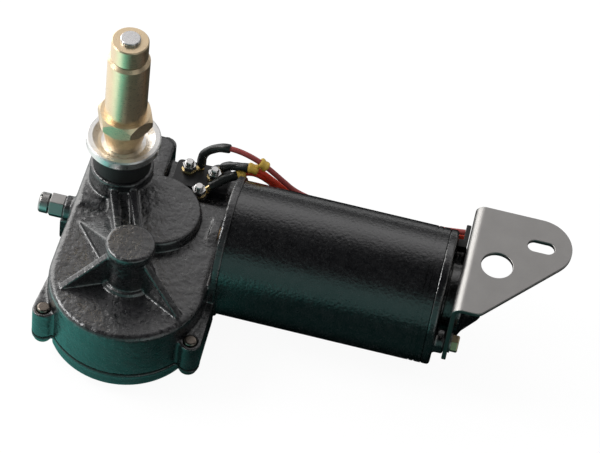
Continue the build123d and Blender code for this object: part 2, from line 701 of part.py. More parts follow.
def make_arm_collar():
    with BuildPart() as arm_collar:
        add(tube(level(COLLAR_LOW_Z), COLLAR_R, SHAFT_R + SIDE, COLLAR_TOP_Z - COLLAR_LOW_Z))
        top_edge = arm_collar.faces().sort_by(Axis.Z)[-1].outer_wire().edges()
        chamfer(top_edge, 0.5)
        low_edge = arm_collar.faces().sort_by(Axis.Z)[0].outer_wire().edges()
        chamfer(low_edge, 0.4)
    save(arm_collar, "arm_collar")


def bar(start, end, z, thickness, width, eye_r):
    """Flat bar between two round eyes."""
    middle = ((start[0] + end[0]) / 2, (start[1] + end[1]) / 2)
    length = hypot(end[0] - start[0], end[1] - start[1])
    turn = degrees(atan2(end[1] - start[1], end[0] - start[0]))
    with BuildPart() as blank:
        with BuildSketch(level(z)):
            with Locations(Location((middle[0], middle[1], 0), (0, 0, turn))):
                Rectangle(length, width)
            with Locations(start, end):
                Circle(eye_r)
        extrude(amount=thickness)
    return blank.part


def make_output_lever():
    with BuildPart() as output_lever:
        add(bar((0, 0), LEVER_PIN, LEVER_Z, LEVER_T, LINK_W + 1, EYE_R))
        with BuildSketch(level(LEVER_Z)):
            Circle(SHAFT_R + 3)
        extrude(amount=LEVER_T)
        with BuildSketch(level(LEVER_Z)):
            Circle(SHAFT_R + SIDE)
        extrude(amount=LEVER_T, mode=Mode.SUBTRACT)
        with BuildSketch(level(LEVER_Z)):
            with Locations(LEVER_PIN):
                Circle(PIN_R + SIDE)
        extrude(amount=LEVER_T, mode=Mode.SUBTRACT)
    save(output_lever, "output_lever")


def make_lever_pin():
    """Pin riveted in the lever. It ends just above the link, whose eye turns about its axis."""
    low_z = LINK_TOP_Z + AIR
    with BuildPart() as lever_pin:
        with BuildSketch(level(low_z, *LEVER_PIN)):
            Circle(PIN_R)
        extrude(amount=LEVER_TOP_Z - low_z)
    save(lever_pin, "lever_pin")


# ---------------------------------------------------------------- worm wheel and link
def wheel_section(turn):
    """Outline of the toothed wheel, turned about its axis by some degrees."""
    root_r = WHEEL_PITCH_R - ROOT_DEPTH
    tip_r = WHEEL_PITCH_R + GEAR_MODULE
    root_w = WHEEL_TOOTH_W / 2 + 0.45
    tip_w = WHEEL_TOOTH_W / 2 - 0.38
    with BuildSketch() as section:
        Circle(root_r)
        with PolarLocations(0, WHEEL_TEETH, start_angle=turn + 180 / WHEEL_TEETH):
            Polygon(
                (root_r - 0.5, -root_w),
                (root_r, -root_w),
                (tip_r, -tip_w),
                (tip_r, tip_w),
                (root_r, root_w),
                (root_r - 0.5, root_w),
                align=None,
            )
    return section.sketch


def make_worm_wheel():
    """Helical wheel: its teeth lie along the worm's thread."""
    lead_angle = atan2(WORM_LEAD, 2 * pi * WORM_PITCH_R)
    twist = degrees(WHEEL_FACE_W * tan(lead_angle) / WHEEL_PITCH_R)
    with BuildPart() as worm_wheel:
        with BuildSketch(level(WHEEL_LOW_Z, WHEEL_X, WHEEL_Y)):
            add(wheel_section(-twist / 2))
        with BuildSketch(level(WHEEL_TOP_Z, WHEEL_X, WHEEL_Y)):
            add(wheel_section(twist / 2))
        loft(ruled=True)
        with BuildSketch(level(WHEEL_LOW_Z + WHEEL_WEB_T, WHEEL_X, WHEEL_Y)):
            Circle(WHEEL_RIM_R)
            Circle(WHEEL_HUB_R, mode=Mode.SUBTRACT)
        extrude(amount=WHEEL_FACE_W - WHEEL_WEB_T, mode=Mode.SUBTRACT)
        with BuildSketch(level(WHEEL_LOW_Z, WHEEL_X, WHEEL_Y)):
            Circle(AXLE_R + RUN)
        extrude(amount=WHEEL_FACE_W, mode=Mode.SUBTRACT)
    save(worm_wheel, "worm_wheel")


def make_wheel_fittings():
    low_z = CRANK_PLATE_Z - CLIP_GAP - CLIP_T
    with BuildPart() as wheel_axle:
        with BuildSketch(level(low_z - CLIP_T, WHEEL_X, WHEEL_Y)):
            Circle(AXLE_R)
        extrude(amount=AXLE_TOP_Z - low_z + CLIP_T)
        chamfer(wheel_axle.faces().sort_by(Axis.Z)[0].edges(), 0.4)
    save(wheel_axle, "wheel_axle")

    with BuildPart() as axle_clip:
        add(tube(level(low_z, WHEEL_X, WHEEL_Y), AXLE_R + AXLE_CLIP_W, AXLE_R + SIDE, CLIP_T))
    save(axle_clip, "axle_clip")

    with BuildPart() as crank_plate:
        with BuildSketch(level(CRANK_PLATE_Z, WHEEL_X, WHEEL_Y)):
            Circle(CRANK_PLATE_R)
            Circle(AXLE_R + RUN, mode=Mode.SUBTRACT)
        extrude(amount=CRANK_PLATE_T)
        with BuildSketch(level(CRANK_PLATE_Z, *CRANK_PIN)):
            Circle(PIN_R + SIDE)
        extrude(amount=CRANK_PLATE_T, mode=Mode.SUBTRACT)
    save(crank_plate, "crank_plate")

    with BuildPart() as crank_pin:
        with BuildSketch(level(LINK_Z - CLIP_GAP - 2 * CLIP_T, *CRANK_PIN)):
            Circle(PIN_R)
        extrude(amount=WHEEL_LOW_Z - LINK_Z + CLIP_GAP + 2 * CLIP_T)
    save(crank_pin, "crank_pin")

    with BuildPart() as crank_spacer:
        spacer_z = LINK_TOP_Z + CLIP_GAP
        add(tube(level(spacer_z, *CRANK_PIN), PIN_R + 1.4, PIN_R + SIDE, low_z - AIR - spacer_z))
        add(tube(level(spacer_z, *CRANK_PIN), PIN_R + 0.5, PIN_R + SIDE, CRANK_PLATE_Z - spacer_z))
    save(crank_spacer, "crank_spacer")

    with BuildPart() as link_clip:
        clip_z = LINK_Z - CLIP_GAP - CLIP_T
        add(tube(level(clip_z, *CRANK_PIN), PIN_R + 2, PIN_R + SIDE, CLIP_T))
    save(link_clip, "link_clip")


def make_drive_link():
    with BuildPart() as drive_link:
        add(bar(CRANK_PIN, LEVER_PIN, LINK_Z, LINK_T, LINK_W, EYE_R))
        with BuildSketch(level(LINK_Z)):
            with Locations(CRANK_PIN, LEVER_PIN):
                Circle(PIN_R + RUN)
        extrude(amount=LINK_T, mode=Mode.SUBTRACT)
    save(drive_link, "drive_link")


def make_park_switch():
    """Slotted contact ring under the wheel and two spring fingers on a block on the cover."""
    ring_r = (PARK_RING_IN_R + PARK_RING_OUT_R) / 2
    block_x = WHEEL_X - ring_r
    with BuildPart() as park_ring:
        with BuildSketch(level(WHEEL_LOW_Z - PARK_RING_T, WHEEL_X, WHEEL_Y)):
            Circle(PARK_RING_OUT_R)
            Circle(PARK_RING_IN_R, mode=Mode.SUBTRACT)
            with PolarLocations(PARK_RING_OUT_R, 1, start_angle=PARK_ANGLE):
                Rectangle(PARK_RING_OUT_R - PARK_RING_IN_R, PARK_GAP, mode=Mode.SUBTRACT)
        extrude(amount=PARK_RING_T)
    save(park_ring, "park_ring")
    with BuildPart() as contact_block:
        with BuildSketch(level(COVER_FLOOR_Z, block_x, WHEEL_Y)):
            RectangleRounded(CONTACT_BLOCK_W, CONTACT_BLOCK_L, CONTACT_BLOCK_W / 6)
        extrude(amount=CONTACT_BLOCK_H)
    save(contact_block, "contact_block")
    with BuildPart() as contact_fingers:
        with BuildSketch(level(COVER_FLOOR_Z + CONTACT_BLOCK_H, block_x, WHEEL_Y)):
            with GridLocations(2 * FINGER_W, 0, 2, 1):
                Rectangle(FINGER_W, FINGER_T)
        extrude(amount=WHEEL_LOW_Z - PARK_RING_T - AIR - COVER_FLOOR_Z - CONTACT_BLOCK_H)
    save(contact_fingers, "contact_fingers")


# ---------------------------------------------------------------- armature
def make_armature_shaft():
    with BuildPart() as armature_shaft:
        with BuildSketch(motor_plane(NOSE_BUSH_X + 1)):
            Circle(AXLE_R)
        extrude(amount=REAR_BEARING_X + REAR_BEARING_L - NOSE_BUSH_X - 1)
        chamfer(armature_shaft.edges().filter_by(GeomType.CIRCLE), 0.5)
    save(armature_shaft, "armature_shaft")


def make_worm():
    """Single-start worm: a helical thread on a core, round the armature shaft."""
    start_x = WHEEL_X - WORM_TURNS / 2 * WORM_LEAD
    core_r = WORM_PITCH_R - ROOT_DEPTH
    core_x = start_x - WORM_LEAD / 2
    core_l = (WORM_TURNS + 1) * WORM_LEAD
    foot = WORM_THREAD_W / 2 + 0.5
    crest = WORM_THREAD_W / 2 - 0.3
    with BuildLine() as coil:
        Helix(WORM_LEAD, WORM_TURNS * WORM_LEAD, WORM_PITCH_R, direction=(1, 0, 0))
    thread = coil.edge()
    outward = Vector(0, (thread @ 0).Y, (thread @ 0).Z)
    # turned so that a crest faces the wheel, and moved onto the armature's axis
    turn = 180 - degrees(atan2(outward.Z, outward.Y))
    place = Location((start_x, MOTOR_Y, MOTOR_Z)) * Location((0, 0, 0), (1, 0, 0), turn)
    with BuildPart() as thread_coil:
        with BuildSketch(Plane(origin=thread @ 0, x_dir=outward, z_dir=thread % 0)):
            Polygon(
                (-ROOT_DEPTH - 0.3, -foot),
                (GEAR_MODULE, -crest),
                (GEAR_MODULE, crest),
                (-ROOT_DEPTH - 0.3, foot),
                align=None,
            )
        sweep(path=thread, is_frenet=True)
    with BuildPart() as worm:
        add(thread_coil.part.moved(place))
        with BuildSketch(motor_plane(core_x)):
            Circle(core_r)
        extrude(amount=core_l)
        with BuildSketch(motor_plane(core_x)):
            Circle(AXLE_R + SIDE)
        extrude(amount=core_l, mode=Mode.SUBTRACT)
    save(worm, "worm")


def make_armature_core():
    """Stack of laminations with a ring of winding slots."""
    with BuildPart() as armature_core:
        with BuildSketch(motor_plane(CORE_X0)):
            Circle(CORE_R)
            Circle(AXLE_R + SIDE, mode=Mode.SUBTRACT)
            with PolarLocations(SLOT_PLACE_R, SLOT_COUNT):
                SlotOverall(SLOT_D, SLOT_W, mode=Mode.SUBTRACT)
            with PolarLocations(CORE_R, SLOT_COUNT):
                Rectangle(4 * SLOT_LIP, SLOT_MOUTH, mode=Mode.SUBTRACT)
        extrude(amount=CORE_L)
    save(armature_core, "armature_core")


def make_windings():
    """Copper turns: bars through the slots and a bundle at each end of the core."""
    with BuildPart() as windings:
        for end_x, length in ((CORE_X0 - WINDING_L, WINDING_L - AIR), (CORE_X1 + AIR, WINDING_L - AIR)):
            with BuildSketch(motor_plane(end_x)):
                Circle(WINDING_R)
                Circle(AXLE_R + WINDING_BORE, mode=Mode.SUBTRACT)
            extrude(amount=length)
        with BuildSketch(motor_plane(CORE_X0 - 1)):
            with PolarLocations(SLOT_PLACE_R, SLOT_COUNT):
                SlotOverall(SLOT_D - 2 * BAR_FIT, SLOT_W - 2 * BAR_FIT)
        extrude(amount=CORE_L + 2)
        rims = windings.edges().filter_by(GeomType.CIRCLE).filter_by(lambda e: e.radius > WINDING_R - 0.1)
        fillet(rims.sort_by(Axis.X)[0], 1.8)
        rims = windings.edges().filter_by(GeomType.CIRCLE).filter_by(lambda e: e.radius > WINDING_R - 0.1)
        fillet(rims.sort_by(Axis.X)[-1], 1.8)
    save(windings, "windings")


def make_commutator():
    with BuildPart() as commutator:
        with BuildSketch(motor_plane(COMM_X0)):
            Circle(COMM_R)
            Circle(AXLE_R + SIDE, mode=Mode.SUBTRACT)
            with PolarLocations(COMM_R, COMM_BARS):
                Rectangle(COMM_SLOT_D, COMM_SLOT_W, mode=Mode.SUBTRACT)
        extrude(amount=COMM_L)
    save(commutator, "commutator")


# ---------------------------------------------------------------- motor case
def make_motor_can():
    with BuildPart() as motor_can:
        add(tube(motor_plane(CAN_X), CAN_R, CAN_R - CAN_WALL, CAN_L))
        for bead_x in (CAN_END_X - 5.6, CAN_END_X - 3.4):
            with BuildSketch(motor_plane(bead_x)):
                Circle(CAN_R + 1)
                Circle(CAN_R - 0.35, mode=Mode.SUBTRACT)
            extrude(amount=0.6, mode=Mode.SUBTRACT)
    save(motor_can, "motor_can")


def make_magnets():
    """Two ferrite arcs, above and below the armature."""
    half = MAGNET_ARC / 2
    side = MAGNET_OUT_R * 2
    with BuildPart() as magnets:
        with BuildSketch(motor_plane(CORE_X0 - MAGNET_OVERHANG)):
            Circle(MAGNET_OUT_R)
            Circle(MAGNET_IN_R, mode=Mode.SUBTRACT)
            for turn in (0, 180):
                with Locations(Location((0, 0, 0), (0, 0, turn))):
                    Polygon(
                        (0, 0),
                        (side, -side * tan(radians(90 - half))),
                        (side, side * tan(radians(90 - half))),
                        align=None,
                        mode=Mode.SUBTRACT,
                    )
        extrude(amount=CORE_L + 2 * MAGNET_OVERHANG)
    save(magnets, "magnets")


def make_end_cap():
    """End cap with a spigot, bolt pads and the domed hub of the rear bearing."""
    side_x = CAP_X + HUB_SIDE_L
    tip_x = CAP_X + HUB_L
    with BuildPart() as end_cap:
        with BuildSketch(motor_plane(CAN_END_X)):
            Circle(CAN_R)
        extrude(amount=CAP_T)
        chamfer(end_cap.faces().sort_by(Axis.X)[-1].edges(), 0.8)
        with BuildSketch(motor_plane(CAN_END_X - SPIGOT_L)):
            Circle(CAN_R - CAN_WALL - SIDE)
            Circle(CAN_R - CAN_WALL - 2.4, mode=Mode.SUBTRACT)
        extrude(amount=SPIGOT_L)
        with BuildSketch(motor_plane(CAP_X)):
            with Locations(*BOLT_PLACES):
                Circle(BOLT_PAD_R)
        extrude(amount=BOLT_PAD_H)
        with BuildSketch(Plane.XY.offset(MOTOR_Z)):
            Polygon(
                (CAN_END_X, MOTOR_Y),
                (CAN_END_X, MOTOR_Y + HUB_R),
                (side_x, MOTOR_Y + HUB_R),
                (side_x + 1.6, MOTOR_Y + HUB_R - 3.4),
                (tip_x - 1.0, MOTOR_Y + HUB_TIP_R + 1.2),
                (tip_x, MOTOR_Y + HUB_TIP_R - 0.4),
                (tip_x, MOTOR_Y),
                align=None,
            )
        revolve(axis=Axis((0, MOTOR_Y, MOTOR_Z), (1, 0, 0)))
        with BuildSketch(motor_plane(CAN_END_X)):
            Circle(BEARING_R + SIDE)
        extrude(amount=REAR_BEARING_X + REAR_BEARING_L + AIR - CAN_END_X, mode=Mode.SUBTRACT)
        with BuildSketch(motor_plane(CAN_END_X - SPIGOT_L)):
            with Locations(*BOLT_PLACES):
                Circle(BOLT_R + AIR)
        extrude(amount=LEG_X - CAN_END_X + SPIGOT_L, mode=Mode.SUBTRACT)
    save(end_cap, "end_cap")


def make_bearings():
    with BuildPart() as front_bearing:
        add(tube(motor_plane(FRONT_BEARING_X), BEARING_R, AXLE_R + RUN, FRONT_BEARING_L))
    save(front_bearing, "front_bearing")
    with BuildPart() as rear_bearing:
        add(tube(motor_plane(REAR_BEARING_X), BEARING_R, AXLE_R + RUN, REAR_BEARING_L))
    save(rear_bearing, "rear_bearing")
    with BuildPart() as nose_bush:
        add(tube(motor_plane(NOSE_BUSH_X), NOSE_BUSH_R, AXLE_R + RUN, NOSE_BUSH_L))
    save(nose_bush, "nose_bush")


def make_brush_plate():
    with BuildPart() as brush_plate:
        with BuildSketch(motor_plane(BRUSH_PLATE_X)):
            Circle(CAN_R - CAN_WALL - SIDE)
            Circle(COMM_R + 1.5, mode=Mode.SUBTRACT)
            with Locations(*BOLT_PLACES):
                Circle(BOLT_R + AIR, mode=Mode.SUBTRACT)
        extrude(amount=BRUSH_PLATE_T)
    save(brush_plate, "brush_plate")


def radial_blocks(start_x, length, inner_r, height, width):
    """Rectangular blocks set radially round the commutator, one at each brush."""
    with BuildPart() as blocks:
        for angle in BRUSH_ANGLES:
            outward = (0, cos(radians(angle)), sin(radians(angle)))
            place = Plane(origin=(start_x, MOTOR_Y, MOTOR_Z), x_dir=outward, z_dir=(1, 0, 0))
            with BuildSketch(place):
                with Locations((inner_r, 0)):
                    Rectangle(height, width, align=(Align.MIN, Align.CENTER))
            extrude(amount=length)
    return blocks.part


def make_brushes():
    brush_x = BRUSH_PLATE_X - AIR - BRUSH_L
    channel_x = brush_x - AIR
    brush_r = COMM_R + RUN
    holder_r = COMM_R + 2
    channel_h = brush_r + BRUSH_H + BRUSH_SPRING_H - holder_r
    with BuildPart() as brush_holders:
        add(radial_blocks(channel_x - BRUSH_HOLDER_T, BRUSH_PLATE_X - channel_x + BRUSH_HOLDER_T, holder_r,
                          channel_h + BRUSH_HOLDER_T, BRUSH_W + 2 * AIR + 2 * BRUSH_HOLDER_T))
        add(radial_blocks(channel_x, BRUSH_PLATE_X - channel_x, holder_r, channel_h, BRUSH_W + 2 * AIR),
            mode=Mode.SUBTRACT)
    save(brush_holders, "brush_holders")
    with BuildPart() as brushes:
        add(radial_blocks(brush_x, BRUSH_L, brush_r, BRUSH_H, BRUSH_W))
    save(brushes, "brushes")
    with BuildPart() as brush_springs:
        add(radial_blocks(brush_x + BRUSH_L / 4, BRUSH_L / 2, brush_r + BRUSH_H, BRUSH_SPRING_H,
                          BRUSH_W / 2))
    save(brush_springs, "brush_springs")


def make_through_bolts():
    head_x = LEG_X + PLATE_THICK + BOLT_WASHER_T
    with BuildPart() as through_bolts:
        for side, lift in BOLT_PLACES:
            place = Plane(
                origin=(head_x, MOTOR_Y + side, MOTOR_Z + lift), x_dir=(0, 1, 0), z_dir=(1, 0, 0)
            )
            add(hex_bolt(place, BOLT_AF, BOLT_HEAD_H, BOLT_R, head_x - CASE_RIGHT_X + 0.6))
    save(through_bolts, "through_bolts")
    with BuildPart() as bolt_washers:
        with BuildSketch(motor_plane(LEG_X + PLATE_THICK)):
            with Locations(*BOLT_PLACES):
                Circle(BOLT_AF / 2 + 0.9)
                Circle(BOLT_R + SIDE, mode=Mode.SUBTRACT)
        extrude(amount=BOLT_WASHER_T)
    save(bolt_washers, "bolt_washers")


def make_thrust_adjuster():
    tip_x = NOSE_BUSH_X + 1 - 2 * THRUST_BALL_R - 2 * RUN
    nut_x = THRUST_BOSS_X - LOCK_NUT_L
    head_x = nut_x - THRUST_NECK
    with BuildPart() as thrust_ball:
        with Locations((tip_x + RUN + THRUST_BALL_R, MOTOR_Y, MOTOR_Z)):
            Sphere(THRUST_BALL_R)
    save(thrust_ball, "thrust_ball")
    with BuildPart() as thrust_screw:
        with BuildSketch(motor_plane(head_x)):
            Circle(THRUST_SCREW_R)
        extrude(amount=tip_x - head_x)
        with BuildSketch(motor_plane(head_x)):
            Circle(THRUST_HEAD_R)
        extrude(amount=-THRUST_HEAD_L)
        fillet(thrust_screw.faces().sort_by(Axis.X)[0].edges(), 1.2)
        with BuildSketch(motor_plane(head_x - THRUST_HEAD_L)):
            Rectangle(1.0, 2 * THRUST_HEAD_R + 1)
        extrude(amount=1.4, mode=Mode.SUBTRACT)
    save(thrust_screw, "thrust_screw")
    with BuildPart() as thrust_lock_nut:
        with BuildSketch(motor_plane(nut_x)):
            RegularPolygon(LOCK_NUT_AF / 2, 6, major_radius=False)
        extrude(amount=LOCK_NUT_L)
        with BuildSketch(motor_plane(nut_x)):
            Circle(THRUST_SCREW_R + SIDE)
        extrude(amount=LOCK_NUT_L, mode=Mode.SUBTRACT)
    save(thrust_lock_nut, "thrust_lock_nut")


# ---------------------------------------------------------------- bracket
def plate_outline():
    """Plan of the bracket: square at the bend, round at the far end."""
    slope = radians(PLATE_DIAGONAL)
    tangent = (NOSE_X + NOSE_R * sin(slope), NOSE_Y - NOSE_R * cos(slope))
    foot_x = tangent[0] - (tangent[1] - PLATE_FRONT_Y) / tan(slope)
    with BuildSketch() as plan:
        with BuildLine():
            Polyline(
                (NOSE_X, PLATE_BACK_Y), (LEG_X, PLATE_BACK_Y), (LEG_X, PLATE_FRONT_Y),
                (foot_x, PLATE_FRONT_Y), tangent,
            )
            ThreePointArc(tangent, (NOSE_X + NOSE_R * cos(radians(20)), NOSE_Y + NOSE_R * sin(radians(20))),
                          (NOSE_X, PLATE_BACK_Y))
        make_face()
        corner = plan.vertices().sort_by_distance((foot_x, PLATE_FRONT_Y))[0]
        fillet(corner, 5.0)
        with Locations((LEG_X + HOLE_POS[0], HOLE_POS[1])):
            Circle(HOLE_R, mode=Mode.SUBTRACT)
        with Locations((LEG_X + SLOT_POS[0], SLOT_POS[1])):
            SlotCenterToCenter(SLOT_PITCH, 2 * SLOT_R, mode=Mode.SUBTRACT)
    return plan.sketch


def make_mounting_bracket():
    """Angle bracket: a plate level with the panel and a leg bolted to the end cap."""
    far_x = NOSE_X + NOSE_R + 1
    width = PLATE_BACK_Y - PLATE_FRONT_Y
    back = Plane(origin=(0, PLATE_BACK_Y, 0), x_dir=(1, 0, 0), z_dir=(0, -1, 0))
    outer_r = BEND_R + PLATE_THICK
    with BuildPart() as mounting_bracket:
        with BuildSketch(back) as profile:
            with BuildLine():
                Polyline((LEG_X, LEG_LOW_Z), (LEG_X, 0), (far_x, 0), (far_x, -PLATE_THICK),
                         (LEG_X + PLATE_THICK, -PLATE_THICK), (LEG_X + PLATE_THICK, LEG_LOW_Z),
                         (LEG_X, LEG_LOW_Z))
            make_face()
            fillet(profile.vertices().sort_by_distance((LEG_X, 0))[0], outer_r)
            inner = (LEG_X + PLATE_THICK, -PLATE_THICK)
            fillet(profile.vertices().sort_by_distance(inner)[0], BEND_R)
        extrude(amount=width)
        with BuildSketch(level(LEG_LOW_Z)):
            add(plate_outline())
        extrude(amount=-LEG_LOW_Z, mode=Mode.INTERSECT)
        # arch round the hub and bolt holes in the leg
        with BuildSketch(motor_plane(LEG_X)):
            Circle(HUB_R + 1.4)
            with Locations((0, 0)):
                Rectangle(2 * HUB_R + 2.8, HUB_R + 8, align=(Align.CENTER, Align.MAX))
            with Locations(*BOLT_PLACES):
                Circle(BOLT_R + AIR)
        extrude(amount=PLATE_THICK, mode=Mode.SUBTRACT)
        foot_edges = mounting_bracket.edges().filter_by(Axis.X).group_by(Axis.Z)[0]
        fillet(foot_edges, 3.0)
        for dart_y in DART_YS:
            dart = Plane(origin=(LEG_X, dart_y, 0), x_dir=(0, 1, 0), z_dir=(1, 0, -1))
            with BuildSketch(dart):
                Circle(DART_R)
            extrude(amount=1.6, both=True, mode=Mode.SUBTRACT)
            with BuildSketch(Plane(origin=(0, dart_y, 0), x_dir=(1, 0, 0), z_dir=(0, -1, 0))):
                Polygon(
                    (LEG_X + PLATE_THICK / 2, -PLATE_THICK - BEND_R - 3),
                    (LEG_X + PLATE_THICK, -PLATE_THICK - BEND_R - 3),
                    (LEG_X + PLATE_THICK + BEND_R + 3, -PLATE_THICK),
                    (LEG_X + PLATE_THICK + BEND_R + 3, -PLATE_THICK / 2),
                    (LEG_X + PLATE_THICK + 1, -PLATE_THICK - 0.6),
                    align=None,
                )
            extrude(amount=DART_R, both=True)
    save(mounting_bracket, "mounting_bracket")


# ---------------------------------------------------------------- terminals
def make_terminal_block():
    collar_r = BLOCK_MARGIN - 1.0
    low_y = min(place[1] for place in STUD_POS[:2]) - BLOCK_MARGIN - BLOCK_FRONT
    with BuildPart() as terminal_block:
        with BuildSketch(level(SHELF_Z)) as plan:
            with Locations((BLOCK_X0, low_y)):
                Rectangle(BLOCK_X1 - BLOCK_X0, SHELF_BACK_Y - 1 - low_y, align=(Align.MIN, Align.MIN))
            with Locations(STUD_POS[2]):
                Circle(BLOCK_MARGIN)
            fillet(plan.vertices().group_by(Axis.Y)[-1], 2.0)
            with Locations((PAD_X, MOTOR_Y)):
                Circle(PAD_BASE_R + AIR, mode=Mode.SUBTRACT)
        extrude(amount=BLOCK_T)
        with BuildSketch(level(SHELF_Z)):
            with Locations(*STUD_POS):
                Circle(collar_r)
        extrude(amount=-CASE_TOP_WALL - 0.6)
        with BuildSketch(level(SHELF_Z - CASE_TOP_WALL - 0.6)):
            with Locations(*STUD_POS):
                Circle(STUD_R + SIDE)
        extrude(amount=CASE_TOP_WALL + 0.6 + BLOCK_T, mode=Mode.SUBTRACT)
    save(terminal_block, "terminal_block")


def make_terminal_hardware():
    ring_z = BLOCK_TOP_Z
    washer_z = ring_z + RING_T
    nut_z = washer_z + TERMINAL_WASHER_T
    stud_z = SHELF_Z - CASE_TOP_WALL - 0.6
    with BuildPart() as terminal_studs:
        with BuildSketch(level(stud_z)):
            with Locations(*STUD_POS):
                RegularPolygon(TERMINAL_NUT_AF / 2, 6, major_radius=False)
        extrude(amount=-1.4)
        with BuildSketch(level(stud_z)):
            with Locations(*STUD_POS):
                Circle(STUD_R)
        extrude(amount=nut_z + TERMINAL_NUT_H + STUD_END - stud_z)
        chamfer(terminal_studs.faces().group_by(Axis.Z)[-1].edges(), 0.4)
    save(terminal_studs, "terminal_studs")
    with BuildPart() as terminal_washers:
        with BuildSketch(level(washer_z)):
            with Locations(*STUD_POS):
                Circle(TERMINAL_WASHER_R)
                Circle(STUD_R + SIDE, mode=Mode.SUBTRACT)
        extrude(amount=TERMINAL_WASHER_T)
    save(terminal_washers, "terminal_washers")
    with BuildPart() as terminal_nuts:
        with BuildSketch(level(nut_z)):
            with Locations(*STUD_POS):
                RegularPolygon(TERMINAL_NUT_AF / 2, 6, major_radius=False)
                Circle(STUD_R + SIDE, mode=Mode.SUBTRACT)
        extrude(amount=TERMINAL_NUT_H)
    save(terminal_nuts, "terminal_nuts")


# ---------------------------------------------------------------- leads
def corner_radii(points):
    """Arc radius at each corner: 0.45 of the shorter run over the tangent of half the turn."""
    radii = []
    for before, corner, after in zip(points, points[1:], points[2:]):
        run_in = Vector(*corner) - Vector(*before)
        run_out = Vector(*after) - Vector(*corner)
        half_turn = radians(run_in.get_angle(run_out)) / 2
        radii.append(0.45 * min(run_in.length, run_out.length) / tan(half_turn))
    return radii


def lead_path(points):
    """Straight runs joined by arcs."""
    with BuildLine() as path:
        FilletPolyline(*points, radius=corner_radii(points))
    return path.wire()


def lead_tube(path, outer_r, bore_r=0.0):
    """Round tube along a lead's path."""
    with BuildPart() as blank:
        with BuildSketch(Plane(origin=path @ 0, z_dir=path % 0)):
            Circle(outer_r)
            if bore_r:
                Circle(bore_r, mode=Mode.SUBTRACT)
        sweep(path=path)
    return blank.part


def make_leads():
    paths = [lead_path(points) for points in LEAD_ROUTES]
    for index, path in enumerate(paths):
        with BuildPart() as lead:
            add(lead_tube(path, LEAD_R))
        save(lead, "lead_" + str(index + 1))
        radii = ", ".join(str(round(radius, 1)) for radius in corner_radii(LEAD_ROUTES[index]))
        print("lead", index + 1, "length", round(path.length, 1), "radii", radii)
    with BuildPart() as lead_sleeves:
        for path, end in zip(paths, SLEEVE_SPANS):
            bore = LEAD_R + SLEEVE_GAP
            add(lead_tube(path.trim(0.01, end), bore + SLEEVE_WALL, bore))
    save(lead_sleeves, "lead_sleeves")
    with BuildPart() as lead_bands:
        for path, place in zip(paths, BAND_SPANS):
            half = BAND_L / 2 / path.length
            add(lead_tube(path.trim(place - half, place + half), BAND_R, LEAD_R + SIDE))
    save(lead_bands, "lead_bands")


def make_ring_terminals():
    """Flat eyes on the studs, each with a barrel that meets its lead face to face."""
    with BuildPart() as ring_terminals:
        for place, points in zip(STUD_POS, LEAD_ROUTES):
            start = Vector(*points[0])
            heading = (Vector(*points[1]) - start).normalized()
            barrel_foot = start - heading * BARREL_L
            with BuildSketch(level(BLOCK_TOP_Z)):
                with Locations(place):
                    Circle(RING_R)
                turn = degrees(atan2(barrel_foot.Y - place[1], barrel_foot.X - place[0]))
                reach = hypot(barrel_foot.X - place[0], barrel_foot.Y - place[1]) + RING_TONGUE
                with Locations(Location((place[0], place[1], 0), (0, 0, turn))):
                    Rectangle(reach, 2.6, align=(Align.MIN, Align.CENTER))
            extrude(amount=RING_T)
            with BuildSketch(Plane(origin=start, z_dir=heading)):
                Circle(LEAD_R)
            extrude(amount=-BARREL_L)
        with BuildSketch(level(BLOCK_TOP_Z)):
            with Locations(*STUD_POS):
                Circle(STUD_R + SIDE)
        extrude(amount=RING_T, mode=Mode.SUBTRACT)
    save(ring_terminals, "ring_terminals")


def make_lead_boot():
    """Rubber boot where the three leads go in: a head across them and a foot on the end cap."""
    ends = [Vector(*points[-1]) for points in LEAD_ROUTES]
    head_x = ends[0].X
    top = max(end.Z for end in ends) + 2.4
    low = min(end.Z for end in ends) - 2.4
    out_y = max(end.Y for end in ends) + 2.2
    pad_top = MOTOR_Z + BOLT_PAD_R + AIR
    pad_y = MOTOR_Y + BOLT_OFFSET
    with BuildPart() as lead_boot:
        with BuildSketch(Plane.YZ.offset(head_x)):
            with Locations((pad_y + BOLT_PAD_R + AIR, low)):
                Rectangle(out_y - pad_y - BOLT_PAD_R - AIR, top - low, align=(Align.MIN, Align.MIN))
            with Locations((pad_y, pad_top)):
                Rectangle(out_y - pad_y, top - pad_top, align=(Align.MIN, Align.MIN))
        extrude(amount=LEG_X - AIR - head_x)
        with BuildSketch(Plane.YZ.offset(CAP_X)):
            with Locations((pad_y, pad_top)):
                Rectangle(BOLT_PAD_R - 1, top - pad_top, align=(Align.MIN, Align.MIN))
        extrude(amount=head_x - CAP_X)
    save(lead_boot, "lead_boot")


def build_all():
    make_gear_housing()
    make_cover_gasket()
    make_gear_cover()
    make_cover_screws()
    make_output_stack()
    make_cup_washer()
    make_sleeve_nut()
    make_output_shaft()
    make_arm_collar()
    make_output_lever()
    make_lever_pin()
    make_worm_wheel()
    make_wheel_fittings()
    make_drive_link()
    make_park_switch()
    make_armature_shaft()
    make_worm()
    make_armature_core()
    make_windings()
    make_commutator()
    make_motor_can()
    make_magnets()
    make_end_cap()
    make_bearings()
    make_brush_plate()
    make_brushes()
    make_through_bolts()
    make_thrust_adjuster()
    make_mounting_bracket()
    make_terminal_block()
    make_terminal_hardware()
    make_leads()
    make_ring_terminals()
    make_lead_boot()


build_all()
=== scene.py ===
"""Wiper motor: looks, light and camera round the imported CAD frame. Metres, in the row's frame."""
import json
import math

import bmesh
import bpy
from mathutils import Matrix, Vector

